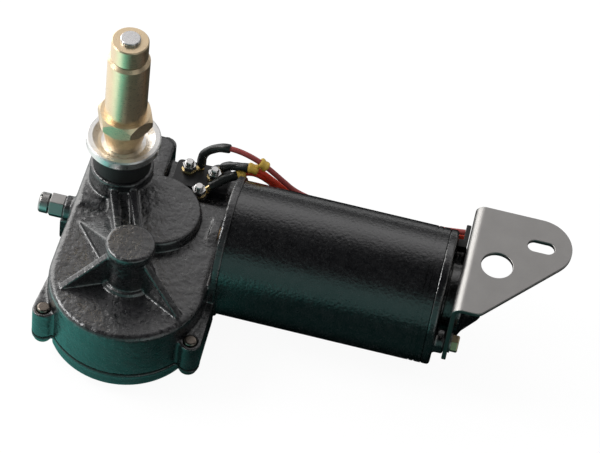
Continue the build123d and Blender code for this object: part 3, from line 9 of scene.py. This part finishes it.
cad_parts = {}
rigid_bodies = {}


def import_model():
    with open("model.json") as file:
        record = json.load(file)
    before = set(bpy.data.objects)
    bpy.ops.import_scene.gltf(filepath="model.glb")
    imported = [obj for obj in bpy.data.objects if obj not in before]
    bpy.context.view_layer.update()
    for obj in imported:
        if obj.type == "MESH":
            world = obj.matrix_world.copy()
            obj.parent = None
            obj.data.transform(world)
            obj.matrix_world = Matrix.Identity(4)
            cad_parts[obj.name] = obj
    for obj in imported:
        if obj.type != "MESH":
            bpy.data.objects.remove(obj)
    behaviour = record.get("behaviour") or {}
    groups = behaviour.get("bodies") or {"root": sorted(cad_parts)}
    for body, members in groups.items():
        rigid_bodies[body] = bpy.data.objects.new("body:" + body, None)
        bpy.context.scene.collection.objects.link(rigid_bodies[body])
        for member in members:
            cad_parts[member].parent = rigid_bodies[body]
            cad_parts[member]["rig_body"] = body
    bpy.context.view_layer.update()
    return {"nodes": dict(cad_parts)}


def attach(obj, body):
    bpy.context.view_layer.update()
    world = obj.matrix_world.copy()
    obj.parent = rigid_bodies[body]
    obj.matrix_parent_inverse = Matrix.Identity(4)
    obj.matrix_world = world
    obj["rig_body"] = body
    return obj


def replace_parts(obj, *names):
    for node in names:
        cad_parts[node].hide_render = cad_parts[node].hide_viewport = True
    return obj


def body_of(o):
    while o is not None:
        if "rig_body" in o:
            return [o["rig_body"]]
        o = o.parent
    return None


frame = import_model()
NODES = frame["nodes"]
MM = 0.001

# ------------------------------------------------------------------ places, in millimetres
FLOOR_Z = -62.4
FLOOR_MIDDLE = (0.09, -0.03)  # metres
FLOOR_SIZE = 3.0  # metres
LEAD_D = 2.5
STUDS = ((27.3, 15.2), (39.1, 14.0), (34.8, 2.6))
STUD_R = 1.9
NUT_TOP_Z = -21.5
STUD_TIP_L = 2.2
THREAD_PITCH = 0.7
# The housing's top face round the boss over the front bearing: x and y ranges in metres, and its height.
BOSS_X = (0.040, 0.0512)
BOSS_Y = (-0.031, -0.0042)
BOSS_FOOT = -22.9 * MM
BOSS_MARGIN = 0.6 * MM
BOSS_KEPT = 0.3  # share of the boss's height that is left
BOSS_PASSES = 24
# The leads' control points, from the terminal barrels to the boot on the end cap.
ROUTES = {
    "lead_1": (
        (32.3, 17.7, -22.9), (31.6, 17.6, -17.2), (35.6, 17.7, -11.2), (42.0, 17.5, -7.6), (49.8, 17.0, -7.5),
        (59.3, 16.4, -11.0), (68.5, 16.1, -18.3), (76.5, 15.9, -24.8), (91.0, 15.0, -26.8),
        (112.0, 14.7, -26.4), (136.0, 14.8, -26.2), (153.2, 16.7, -25.3),
    ),
    "lead_2": (
        (41.8, 18.8, -22.9), (43.6, 18.1, -20.2), (47.2, 16.6, -17.4), (50.9, 15.6, -15.8), (55.2, 15.6, -14.9),
        (59.8, 15.9, -16.3), (65.4, 16.4, -20.8), (73.2, 16.9, -26.8), (86.0, 17.2, -30.5),
        (109.0, 16.9, -29.9), (134.0, 17.1, -29.4), (153.2, 17.1, -29.4),
    ),
    "lead_3": (
        (38.9, 6.2, -23.2), (42.4, 9.4, -21.5), (46.4, 12.6, -20.9), (50.4, 15.3, -20.3), (54.8, 16.6, -19.2),
        (59.4, 17.0, -20.3), (65.4, 17.4, -24.6), (72.0, 17.6, -30.0), (81.0, 17.4, -33.0),
        (95.0, 17.2, -34.2), (115.0, 17.4, -33.7), (137.0, 17.2, -33.4), (153.2, 17.2, -33.4),
    ),
}
# Shares of a lead's length at which its sleeve ends and its band sits.
SLEEVE_END = {"lead_1": 0.162, "lead_2": 0.13, "lead_3": 0.113}
BAND_AT = {"lead_1": 0.283, "lead_2": 0.144, "lead_3": 0.127}


# ------------------------------------------------------------------ camera
PHOTO_WIDTH = 600  # pixels
SENSOR_WIDTH = 36.0  # millimetres


def build_camera():
    """Camera fitted to the photograph: angles in radians, places in millimetres, focal length in pixels."""
    azimuth, elevation, roll = 0.10433379, 0.87056078, 0.15279961
    across, lift, distance, focal = -76.733712, 36.470632, 1120.290656, 2576.268648
    back = Vector((math.sin(azimuth) * math.cos(elevation), -math.cos(azimuth) * math.cos(elevation),
                   math.sin(elevation)))
    right = Vector((math.cos(azimuth), math.sin(azimuth), 0))
    up = back.cross(right)
    right, up = (right * math.cos(roll) + up * math.sin(roll), up * math.cos(roll) - right * math.sin(roll))
    place = (back * distance - right * across - up * lift) * MM
    data = bpy.data.cameras.new("camera")
    data.sensor_width = SENSOR_WIDTH
    data.lens = focal / PHOTO_WIDTH * SENSOR_WIDTH
    data.clip_end = 20
    camera = bpy.data.objects.new("camera", data)
    bpy.context.collection.objects.link(camera)
    camera.matrix_world = Matrix.Translation(place) @ Matrix((right, up, back)).transposed().to_4x4()
    bpy.context.scene.camera = camera


build_camera()

# ------------------------------------------------------------------ node materials
ENAMEL_IOR = 2.0
WELD_DISTANCE = 2e-6
WHITE = (1, 1, 1)


class Nodes:
    """Builds one material: a Principled shader and the textures that feed it."""

    def __init__(self, name, base, metallic=0.0, roughness=0.5, **extra):
        self.mat = bpy.data.materials.new(name)
        self.mat.use_nodes = True
        self.tree = self.mat.node_tree
        self.bsdf = self.tree.nodes["Principled BSDF"]
        self.bsdf.inputs["Base Color"].default_value = (*base, 1)
        self.bsdf.inputs["Metallic"].default_value = metallic
        self.bsdf.inputs["Roughness"].default_value = roughness
        for key, value in extra.items():
            self.bsdf.inputs[key.replace("_", " ")].default_value = value
        self.coord = self.tree.nodes.new("ShaderNodeTexCoord").outputs["Object"]
        self.height = None

    def link(self, a, b):
        self.tree.links.new(a, b)

    def node(self, kind, inputs=(), **props):
        n = self.tree.nodes.new(kind)
        for key, value in props.items():
            setattr(n, key, value)
        for key, value in dict(inputs).items():
            if isinstance(value, bpy.types.NodeSocket):
                self.link(value, n.inputs[key])
            else:
                n.inputs[key].default_value = value
        return n

    def noise(self, scale, detail=3.0, rough=0.5, stretch=(1, 1, 1)):
        place = self.node("ShaderNodeMapping", {"Vector": self.coord, "Scale": stretch})
        return self.node(
            "ShaderNodeTexNoise",
            {"Vector": place.outputs[0], "Scale": scale, "Detail": detail, "Roughness": rough},
        ).outputs[0]

    def cells(self, scale, smooth=0.4):
        return self.node(
            "ShaderNodeTexVoronoi", {"Vector": self.coord, "Scale": scale, "Smoothness": smooth},
            feature="SMOOTH_F1",
        ).outputs[0]

    def ramp(self, value, low, high, out_low, out_high):
        return self.node(
            "ShaderNodeMapRange",
            {"Value": value, "From Min": low, "From Max": high, "To Min": out_low, "To Max": out_high},
        ).outputs[0]

    def tint(self, fac, dark, light):
        mix = self.node("ShaderNodeMix", data_type="RGBA")
        self.link(fac, mix.inputs[0])
        mix.inputs[6].default_value = (*dark, 1)
        mix.inputs[7].default_value = (*light, 1)
        self.link(mix.outputs[2], self.bsdf.inputs["Base Color"])
        return self

    def rough(self, fac, low, high):
        self.link(self.ramp(fac, 0.3, 0.7, low, high), self.bsdf.inputs["Roughness"])
        return self

    def bump(self, value, distance, strength=1.0):
        bump = self.node("ShaderNodeBump", {"Height": value, "Distance": distance, "Strength": strength})
        if self.height is not None:
            self.link(self.height, bump.inputs["Normal"])
        self.height = bump.outputs[0]
        self.link(self.height, self.bsdf.inputs["Normal"])
        return self


def enamel(name, grain, depth, roughness, dark, light, uneven=0.0):
    """Black textured enamel: fine grain over broader mottling and an uneven surface."""
    m = Nodes(name, dark, 0.0, roughness)
    fine = m.noise(grain, 2.5, 0.6)
    broad = m.noise(grain * 0.28, 2.0)
    m.tint(m.ramp(broad, 0.35, 0.65, 0.0, 1.0), dark, light)
    m.rough(fine, roughness - 0.08, roughness + 0.1)
    if uneven:
        m.bump(m.noise(190.0, 2.0), uneven, 0.4)
    m.bump(m.cells(grain * 0.75), depth, 0.5)
    m.bump(fine, depth)
    m.bsdf.inputs["IOR"].default_value = ENAMEL_IOR
    return m.mat


def plated(name, base, roughness, lines=(1, 1, 1), scale=900.0, depth=0.00002, metallic=1.0):
    """Plated or turned metal, with fine marks that run across `lines`."""
    dark = tuple(0.93 * c for c in base)
    m = Nodes(name, base, metallic, roughness)
    marks = m.noise(scale, 3.0, 0.6, lines)
    stain = m.noise(120.0, 3.0)
    m.tint(m.ramp(stain, 0.3, 0.7, 0.0, 1.0), dark, base)
    m.rough(marks, roughness - 0.08, roughness + 0.1)
    m.bump(marks, depth)
    return m.mat


def moulded(name, base, roughness=0.5, scale=1400.0, depth=0.00002, **extra):
    """Rubber, plastic or board: a slight colour shift and a fine skin."""
    dark = tuple(0.8 * c for c in base)
    m = Nodes(name, base, 0.0, roughness, **extra)
    skin = m.noise(scale, 2.0)
    m.tint(m.ramp(m.noise(150.0, 3.0), 0.3, 0.7, 0.0, 1.0), dark, base)
    m.rough(skin, roughness - 0.07, roughness + 0.07)
    m.bump(skin, depth)
    return m.mat


CAST = enamel("cast_enamel", 640.0, 0.00018, 0.3, (0.005, 0.005, 0.006), (0.011, 0.010, 0.012), 0.0012)
CAN = enamel("can_enamel", 900.0, 0.00012, 0.19, (0.004, 0.004, 0.005), (0.008, 0.008, 0.009))
ZINC = plated("zinc", (0.38, 0.37, 0.36), 0.36, (1, 6, 1))
WASHER = plated("washer_zinc", (0.88, 0.87, 0.85), 0.33)
STEEL = plated("steel", (0.74, 0.73, 0.73), 0.28)
BRIGHT = plated("bright_zinc", (0.80, 0.79, 0.78), 0.18)
DARK = plated("dark_steel", (0.16, 0.15, 0.15), 0.38)
OILED = plated("oiled_steel", (0.20, 0.17, 0.145), 0.3)
BRASS = plated("brass", (0.80, 0.63, 0.42), 0.32, (1, 1, 14), 500.0, metallic=0.9)
GILT = plated("brass_washer", (0.74, 0.58, 0.30), 0.26)
YELLOW_ZINC = plated("yellow_zinc", (0.56, 0.46, 0.29), 0.33)
BRONZE = plated("bronze", (0.50, 0.33, 0.17), 0.45)
COPPER = plated("copper", (0.70, 0.32, 0.14), 0.35, (8, 1, 1), 900.0, 0.00008)
FERRITE = moulded("ferrite", (0.05, 0.05, 0.053), 0.6)
RUBBER = moulded("rubber", (0.012, 0.012, 0.012), 0.62)
PLASTIC = moulded("black_plastic", (0.014, 0.014, 0.015), 0.4)
GEAR = moulded("gear_plastic", (0.70, 0.67, 0.58), 0.42)
BOARD = moulded("board", (0.22, 0.10, 0.04), 0.5)
CARBON = moulded("carbon", (0.03, 0.03, 0.03), 0.55)
RED = moulded("red_insulation", (0.78, 0.065, 0.025), 0.36)
BROWN_RED = moulded("brown_red_insulation", (0.34, 0.06, 0.055), 0.34)
SLEEVE = moulded("shrink_sleeve", (0.016, 0.019, 0.018), 0.3, 500.0, 0.00008)
YELLOW = moulded("yellow_band", (0.66, 0.44, 0.07), 0.36, 500.0, 0.00006)

# Each material with the record's slot and the CAD nodes that carry it.
LOOK = (
    (CAST, "black_paint", "gear_housing gear_cover"),
    (CAN, "black_paint", "motor_can end_cap"),
    (ZINC, "zinc", "mounting_bracket output_lever drive_link crank_plate"),
    (ZINC, "zinc", "bolt_washers thrust_screw thrust_lock_nut"),
    (WASHER, "zinc", "cup_washer"),
    (STEEL, "steel", "shaft_pipe output_shaft lever_pin wheel_axle crank_pin armature_shaft worm"),
    (STEEL, "steel", "brush_springs thrust_ball"),
    (BRIGHT, "zinc", "terminal_nuts terminal_studs"),
    (DARK, "dark_steel", "axle_clip link_clip armature_core"),
    (OILED, "dark_steel", "cover_screws"),
    (BRASS, "brass", "sleeve_nut arm_collar park_ring contact_fingers brush_holders"),
    (GILT, "brass", "terminal_washers ring_terminals"),
    (YELLOW_ZINC, "brass", "through_bolts"),
    (BRONZE, "bronze", "lower_bush upper_bush crank_spacer front_bearing rear_bearing nose_bush"),
    (COPPER, "copper", "windings commutator"),
    (FERRITE, "ferrite", "magnets"),
    (RUBBER, "rubber", "cover_gasket shaft_seal rubber_spacer lead_boot"),
    (PLASTIC, "black_plastic", "terminal_block"),
    (GEAR, "gear_plastic", "worm_wheel"),
    (BOARD, "brown_board", "contact_block brush_plate"),
    (CARBON, "carbon", "brushes"),
    (RED, "red_lead", "lead_2 lead_3"),
    (BROWN_RED, "red_lead", "lead_1"),
    (SLEEVE, "black_plastic", "lead_sleeves"),
    (YELLOW, "yellow_band", "lead_bands"),
)
FINISH = {}
for material, slot, names in LOOK:
    for name in names.split():
        FINISH[name] = (material, slot)
        mesh = NODES[name].data
        mesh.materials.clear()
        mesh.materials.append(material)


# ------------------------------------------------------------------ making pieces
def place(name, data, like, body="case"):
    """New object that rides on a body and is finished like the CAD node `like`."""
    material, slot = FINISH[like]
    data.materials.clear()
    data.materials.append(material)
    obj = bpy.data.objects.new(name, data)
    bpy.context.collection.objects.link(obj)
    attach(obj, body)
    return obj


def mesh_from(name, bm, smooth_angle=35.0):
    """Mesh of a bmesh's welded faces, smooth up to `smooth_angle` between them."""
    bmesh.ops.recalc_face_normals(bm, faces=bm.faces)
    bm.verts.index_update()
    mesh = bpy.data.meshes.new(name)
    mesh.from_pydata([v.co[:] for v in bm.verts], [], [[v.index for v in f.verts] for f in bm.faces])
    bm.free()
    mesh.shade_smooth()
    mesh.set_sharp_from_angle(angle=math.radians(smooth_angle))
    return mesh


def welded(node):
    """Bmesh of a CAD node's mesh, with the seams between its faces closed."""
    bm = bmesh.new()
    bm.from_mesh(NODES[node].data)
    bmesh.ops.remove_doubles(bm, verts=bm.verts, dist=WELD_DISTANCE)
    return bm


def stand_in(name, mesh, node):
    """Piece that stands for a CAD node and rides where it rides."""
    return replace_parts(place(name, mesh, node, body_of(NODES[node])[0]), node)


def settle(obj):
    """Replace an object's mesh by what its modifiers make of it."""
    made = bpy.data.meshes.new_from_object(obj.evaluated_get(bpy.context.evaluated_depsgraph_get()))
    obj.modifiers.clear()
    obj.data = made
    return obj


def recast(node, voxel, passes):
    """Casting with its edges and corners run soft."""
    obj = stand_in(node + "_skin", mesh_from(node + "_skin", welded(node)), node)
    remesh = obj.modifiers.new("remesh", "REMESH")
    remesh.mode = "VOXEL"
    remesh.voxel_size = voxel * MM
    remesh.use_smooth_shade = True
    smooth = obj.modifiers.new("smooth", "SMOOTH")
    smooth.factor = 0.5
    smooth.iterations = passes
    return settle(obj)


def dressed(node, width, segments=2):
    """Pressed, turned or moulded piece with its sharp edges broken by `width`."""
    bm = welded(node)
    bmesh.ops.dissolve_limit(bm, angle_limit=math.radians(0.4), verts=bm.verts, edges=bm.edges)
    obj = stand_in(node + "_dressed", mesh_from(node + "_dressed", bm), node)
    bevel = obj.modifiers.new("bevel", "BEVEL")
    bevel.width = width * MM
    bevel.segments = segments
    bevel.limit_method = "ANGLE"
    bevel.angle_limit = math.radians(32)
    bevel.harden_normals = True
    return settle(obj)


# ------------------------------------------------------------------ leads, sleeves and bands
def route_curve(name, points, bevel=0.0):
    """NURBS curve whose control points are a lead's route."""
    data = bpy.data.curves.new(name, "CURVE")
    data.dimensions = "3D"
    data.bevel_depth = bevel
    data.bevel_resolution = 6
    data.use_fill_caps = True
    spline = data.splines.new("NURBS")
    spline.points.add(len(points) - 1)
    for point, co in zip(spline.points, points):
        point.co = (*(MM * v for v in co), 1)
    spline.order_u = 3
    spline.use_endpoint_u = True
    spline.resolution_u = 24
    return data


def route_line(name, points):
    """Points along a lead's own spline, with the length run up to each."""
    probe = bpy.data.objects.new(name, route_curve(name, points))
    bpy.context.collection.objects.link(probe)
    mesh = bpy.data.meshes.new_from_object(probe)
    line = [v.co.copy() for v in mesh.vertices]
    bpy.data.objects.remove(probe)
    run = [0.0]
    for a, b in zip(line, line[1:]):
        run.append(run[-1] + (b - a).length)
    return line, run


def at_length(line, run, s):
    """Point at length s along the line."""
    for k in range(1, len(run)):
        if run[k] >= s:
            share = (s - run[k - 1]) / (run[k] - run[k - 1])
            return line[k - 1].lerp(line[k], share)
    return line[-1]


def swept(name, line, run, profile, like, sides=20, lobes=0.0):
    """Ring of vertices at each (length, radius) of the profile, closed at both ends."""
    bm = bmesh.new()
    rings = []
    side = None
    step = 0.0004
    for s, radius in profile:
        centre = at_length(line, run, s)
        ahead = (at_length(line, run, s + step) - at_length(line, run, max(s - step, 0.0))).normalized()
        side = ahead.orthogonal() if side is None else side - ahead * side.dot(ahead)
        side.normalize()
        other = ahead.cross(side)
        ring = []
        for k in range(sides):
            turn = math.tau * k / sides
            r = radius * (1.0 + lobes * math.sin(3 * turn + 900 * s))
            ring.append(bm.verts.new(centre + r * (side * math.cos(turn) + other * math.sin(turn))))
        rings.append(ring)
    for low, high in zip(rings, rings[1:]):
        for k in range(sides):
            bm.faces.new((low[k], low[(k + 1) % sides], high[(k + 1) % sides], high[k]))
    bm.faces.new(rings[0][::-1])
    bm.faces.new(rings[-1])
    return place(name, mesh_from(name, bm, 50.0), like)


def sleeve_profile(first, last):
    """Shrunk sleeve: a rolled mouth at each end and a slightly uneven body."""
    steps = 26
    body = []
    for k in range(steps + 1):
        share = k / steps
        swell = 0.10 * math.sin(7.0 * share + 0.6) + 0.05 * math.sin(23.0 * share)
        body.append((first + (last - first) * share, (2.0 + swell) * MM))
    rim = 0.0004
    return [(first, 1.3 * MM), (first, 1.85 * MM)] + [
        (s, r) for s, r in body if first + rim < s < last - rim
    ] + [(last - rim, 2.05 * MM), (last, 1.85 * MM), (last, 1.3 * MM)]


def band_profile(middle):
    """Crimped band: a waist between two rolled edges."""
    half = 2.1
    shape = ((-1, 1.3), (-1, 2.05), (-0.8, 2.4), (-0.45, 2.42), (-0.15, 2.16), (0.15, 2.14), (0.45, 2.4),
             (0.8, 2.4), (1, 2.05), (1, 1.3))
    return [(middle + half * MM * share, radius * MM) for share, radius in shape]


for lead, points in ROUTES.items():
    line, run = route_line(lead + "_line", points)
    number = lead[-1]
    sleeve = swept("sleeve_" + number, line, run, sleeve_profile(0.0, SLEEVE_END[lead] * run[-1]),
                   "lead_sleeves", 24, 0.02)
    band = swept("band_" + number, line, run, band_profile(BAND_AT[lead] * run[-1]), "lead_bands", 24, 0.03)
    if lead == "lead_1":
        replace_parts(sleeve, "lead_sleeves")
        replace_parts(band, "lead_bands")
    cord = place(lead + "_cord", route_curve(lead + "_cord", points, LEAD_D / 2 * MM), lead)
    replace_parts(cord, lead)

# ------------------------------------------------------------------ castings and metal pieces
def press_boss(mesh):
    """Press the boss over the front bearing down to a low, smooth swelling of the top face."""
    bm = bmesh.new()
    bm.from_mesh(mesh)
    swell = [
        v for v in bm.verts
        if BOSS_X[0] < v.co.x < BOSS_X[1] and BOSS_Y[0] < v.co.y < BOSS_Y[1] and v.co.z > BOSS_FOOT - BOSS_MARGIN
    ]
    for v in swell:
        if v.co.z > BOSS_FOOT:
            v.co.z = BOSS_FOOT + BOSS_KEPT * (v.co.z - BOSS_FOOT)
    for _ in range(BOSS_PASSES):
        bmesh.ops.smooth_vert(bm, verts=swell, factor=0.5, use_axis_x=False, use_axis_y=False, use_axis_z=True)
    bm.to_mesh(mesh)
    bm.free()


def thread(name, foot, radius, length, pitch, like, sides=24):
    """Ridge that winds up a stud, proud of it by a fifth of its pitch."""
    bm = bmesh.new()
    count = round(length / pitch * sides)
    low, crest = radius - 0.1, radius + 0.2 * pitch
    rows = []
    for k in range(count + 1):
        turn = math.tau * k / sides
        height = pitch * k / sides
        taper = min(1.0, k / 6, (count - k) / 6)
        out = low + (crest - low) * taper
        rows.append([
            bm.verts.new([MM * (foot[0] + r * math.cos(turn)), MM * (foot[1] + r * math.sin(turn)),
                          MM * (foot[2] + height + rise * pitch)])
            for r, rise in ((low, -0.32), (out, -0.06), (out, 0.06), (low, 0.32))
        ])
    for a, b in zip(rows, rows[1:]):
        for i in range(4):
            bm.faces.new((a[i], a[(i + 1) % 4], b[(i + 1) % 4], b[i]))
    bm.faces.new(rows[0][::-1])
    bm.faces.new(rows[-1])
    return place(name, mesh_from(name, bm), like)


press_boss(recast("gear_housing", 0.5, 8).data)
for number, (x, y) in enumerate(STUDS, 1):
    foot = (x, y, NUT_TOP_Z + 0.3)
    thread("stud_thread_" + str(number), foot, STUD_R, STUD_TIP_L - THREAD_PITCH, THREAD_PITCH, "terminal_studs")
recast("gear_cover", 0.6, 6)
recast("end_cap", 0.55, 6)
for node, width in (
    ("mounting_bracket", 0.35), ("terminal_nuts", 0.3), ("thrust_lock_nut", 0.3), ("through_bolts", 0.25),
    ("bolt_washers", 0.2), ("output_lever", 0.3), ("drive_link", 0.3), ("crank_plate", 0.3),
    ("terminal_block", 0.4), ("ring_terminals", 0.2), ("terminal_washers", 0.15), ("lead_boot", 0.4),
):
    dressed(node, width)

# ------------------------------------------------------------------ floor and light
# Colour of the painted teal reflection that the floor shows to glossy rays.
PAINTED_TEAL = (0.16, 0.72, 0.64)
ROOM = (0.28, 0.60, 0.56)
MOTOR = (0.05, -0.02, -0.02)
AMBIENT = 0.55


def glow(tree, kind, colour, strength):
    """Emission or background of one colour, as strong as a number or a node says."""
    node = tree.nodes.new(kind)
    node.inputs[0].default_value = (*colour, 1)
    if isinstance(strength, float):
        node.inputs[1].default_value = strength
    else:
        tree.links.new(strength, node.inputs[1])
    return node.outputs[0]


def blend_shaders(tree, fac, a, b):
    mix = tree.nodes.new("ShaderNodeMixShader")
    if isinstance(fac, float):
        mix.inputs[0].default_value = fac
    else:
        tree.links.new(fac, mix.inputs[0])
    tree.links.new(a, mix.inputs[1])
    tree.links.new(b, mix.inputs[2])
    return mix.outputs[0]


def fade(tree, value, low, high, out_low, out_high):
    """Smooth change of a value between two places."""
    node = tree.nodes.new("ShaderNodeMapRange")
    node.interpolation_type = "SMOOTHSTEP"
    for key, number in (("From Min", low), ("From Max", high), ("To Min", out_low), ("To Max", out_high)):
        node.inputs[key].default_value = number
    tree.links.new(value, node.inputs["Value"])
    return node.outputs[0]


def product(tree, a, b):
    node = tree.nodes.new("ShaderNodeMath")
    node.operation = "MULTIPLY"
    tree.links.new(a, node.inputs[0])
    tree.links.new(b, node.inputs[1])
    return node.outputs[0]


def add_shaders(tree, first, *others):
    for other in others:
        node = tree.nodes.new("ShaderNodeAddShader")
        tree.links.new(first, node.inputs[0])
        tree.links.new(other, node.inputs[1])
        first = node.outputs[0]
    return first


def build_floor():
    """White to the camera; to a glossy ray a painted reflection, teal in front and pale at the left, right and back.
    """
    bpy.ops.mesh.primitive_plane_add(size=FLOOR_SIZE, location=(*FLOOR_MIDDLE, FLOOR_Z * MM))
    floor = bpy.context.object
    floor.name = "floor"
    mat = bpy.data.materials.new("floor")
    mat.use_nodes = True
    tree = mat.node_tree
    tree.nodes.clear()
    out = tree.nodes.new("ShaderNodeOutputMaterial")
    diffuse = tree.nodes.new("ShaderNodeBsdfDiffuse")
    diffuse.inputs[0].default_value = (0.8, 0.8, 0.8, 1)
    path = tree.nodes.new("ShaderNodeLightPath")
    geo = tree.nodes.new("ShaderNodeNewGeometry")
    split = tree.nodes.new("ShaderNodeSeparateXYZ")
    tree.links.new(geo.outputs["Position"], split.inputs[0])
    x, y = split.outputs[0], split.outputs[1]
    # Painted reflection: patches of the floor that glow only to glossy rays, teal in front and white at the left,
    # right and back.
    front = product(tree, fade(tree, x, -0.05, 0.075, 1.1, 0.06), fade(tree, y, -0.07, -0.04, 1.0, 0.05))
    left = product(tree, fade(tree, x, -0.07, -0.045, 1.0, 0.0), fade(tree, y, -0.2, -0.05, 0.2, 1.2))
    right = fade(tree, x, 0.24, 0.32, 0.0, 0.6)
    rear = fade(tree, y, 0.12, 0.24, 0.0, 0.5)
    glossy_glows = ((PAINTED_TEAL, front), (WHITE, left), (WHITE, right), (WHITE, rear))
    painted_reflection = add_shaders(tree, *(glow(tree, "ShaderNodeEmission", colour, strength) for colour, strength in glossy_glows))
    white = glow(tree, "ShaderNodeEmission", WHITE, 1.06)
    seen = blend_shaders(tree, 0.88, diffuse.outputs[0], white)
    shader = blend_shaders(tree, path.outputs["Is Glossy Ray"], diffuse.outputs[0], painted_reflection)
    shader = blend_shaders(tree, path.outputs["Is Camera Ray"], shader, seen)
    tree.links.new(shader, out.inputs[0])
    floor.data.materials.append(mat)


def build_world():
    """White to the camera and plain to a diffuse ray; to a glossy ray a sky, a dim room and two cards."""
    world = bpy.data.worlds.new("studio")
    bpy.context.scene.world = world
    world.use_nodes = True
    tree = world.node_tree
    tree.nodes.clear()
    out = tree.nodes.new("ShaderNodeOutputWorld")
    path = tree.nodes.new("ShaderNodeLightPath")
    coord = tree.nodes.new("ShaderNodeTexCoord")
    split = tree.nodes.new("ShaderNodeSeparateXYZ")
    tree.links.new(coord.outputs["Generated"], split.inputs[0])
    x, y, z = split.outputs
    behind = product(tree, fade(tree, y, -0.05, 0.4, 0.08, 1.0), fade(tree, z, 0.1, 0.45, 0.06, 0.4))
    sky = product(tree, behind, fade(tree, z, 0.66, 0.88, 1.3, 0.3))
    room = product(tree, fade(tree, y, -0.7, -0.5, 1.0, 0.0), fade(tree, z, 0.45, 0.75, 0.45, 0.0))
    left = fade(tree, x, -0.9, -0.5, 0.7, 0.0)
    right = product(tree, fade(tree, x, 0.3, 0.6, 0.0, 0.5), fade(tree, y, -0.45, -0.2, 1.0, 0.0))
    glossy_glows = ((WHITE, sky), (ROOM, room), (WHITE, left), (WHITE, right))
    shader = add_shaders(tree, *(glow(tree, "ShaderNodeBackground", colour, strength) for colour, strength in glossy_glows))
    for ray, strength in (("Is Diffuse Ray", AMBIENT), ("Is Camera Ray", 1.0)):
        plain = glow(tree, "ShaderNodeBackground", WHITE, strength)
        shader = blend_shaders(tree, path.outputs[ray], shader, plain)
    tree.links.new(shader, out.inputs[0])


def area(name, place, target, size, energy, colour=WHITE, size_y=None):
    """Rectangular lamp in metres and watts, turned to a target."""
    data = bpy.data.lights.new(name, "AREA")
    data.shape = "RECTANGLE"
    data.size = size
    data.size_y = size_y or size
    data.energy = energy
    data.color = colour
    lamp = bpy.data.objects.new(name, data)
    bpy.context.collection.objects.link(lamp)
    lamp.location = place
    lamp.rotation_euler = (Vector(target) - Vector(place)).to_track_quat("-Z", "Y").to_euler()


build_floor()
build_world()
area("back_card", (0.05, 0.75, 0.85), (0.08, -0.02, -0.02), 1.4, 1.3, (1, 0.98, 0.99), 0.8)
area("rim_lamp", (-0.75, 0.62, 0.42), MOTOR, 0.7, 5.6, (1, 0.99, 0.97), 1.1)
area("left_lamp", (-0.6, -0.1, 0.6), (0.0, -0.02, -0.02), 0.35, 3.5)
bpy.context.scene.view_settings.view_transform = "Standard"
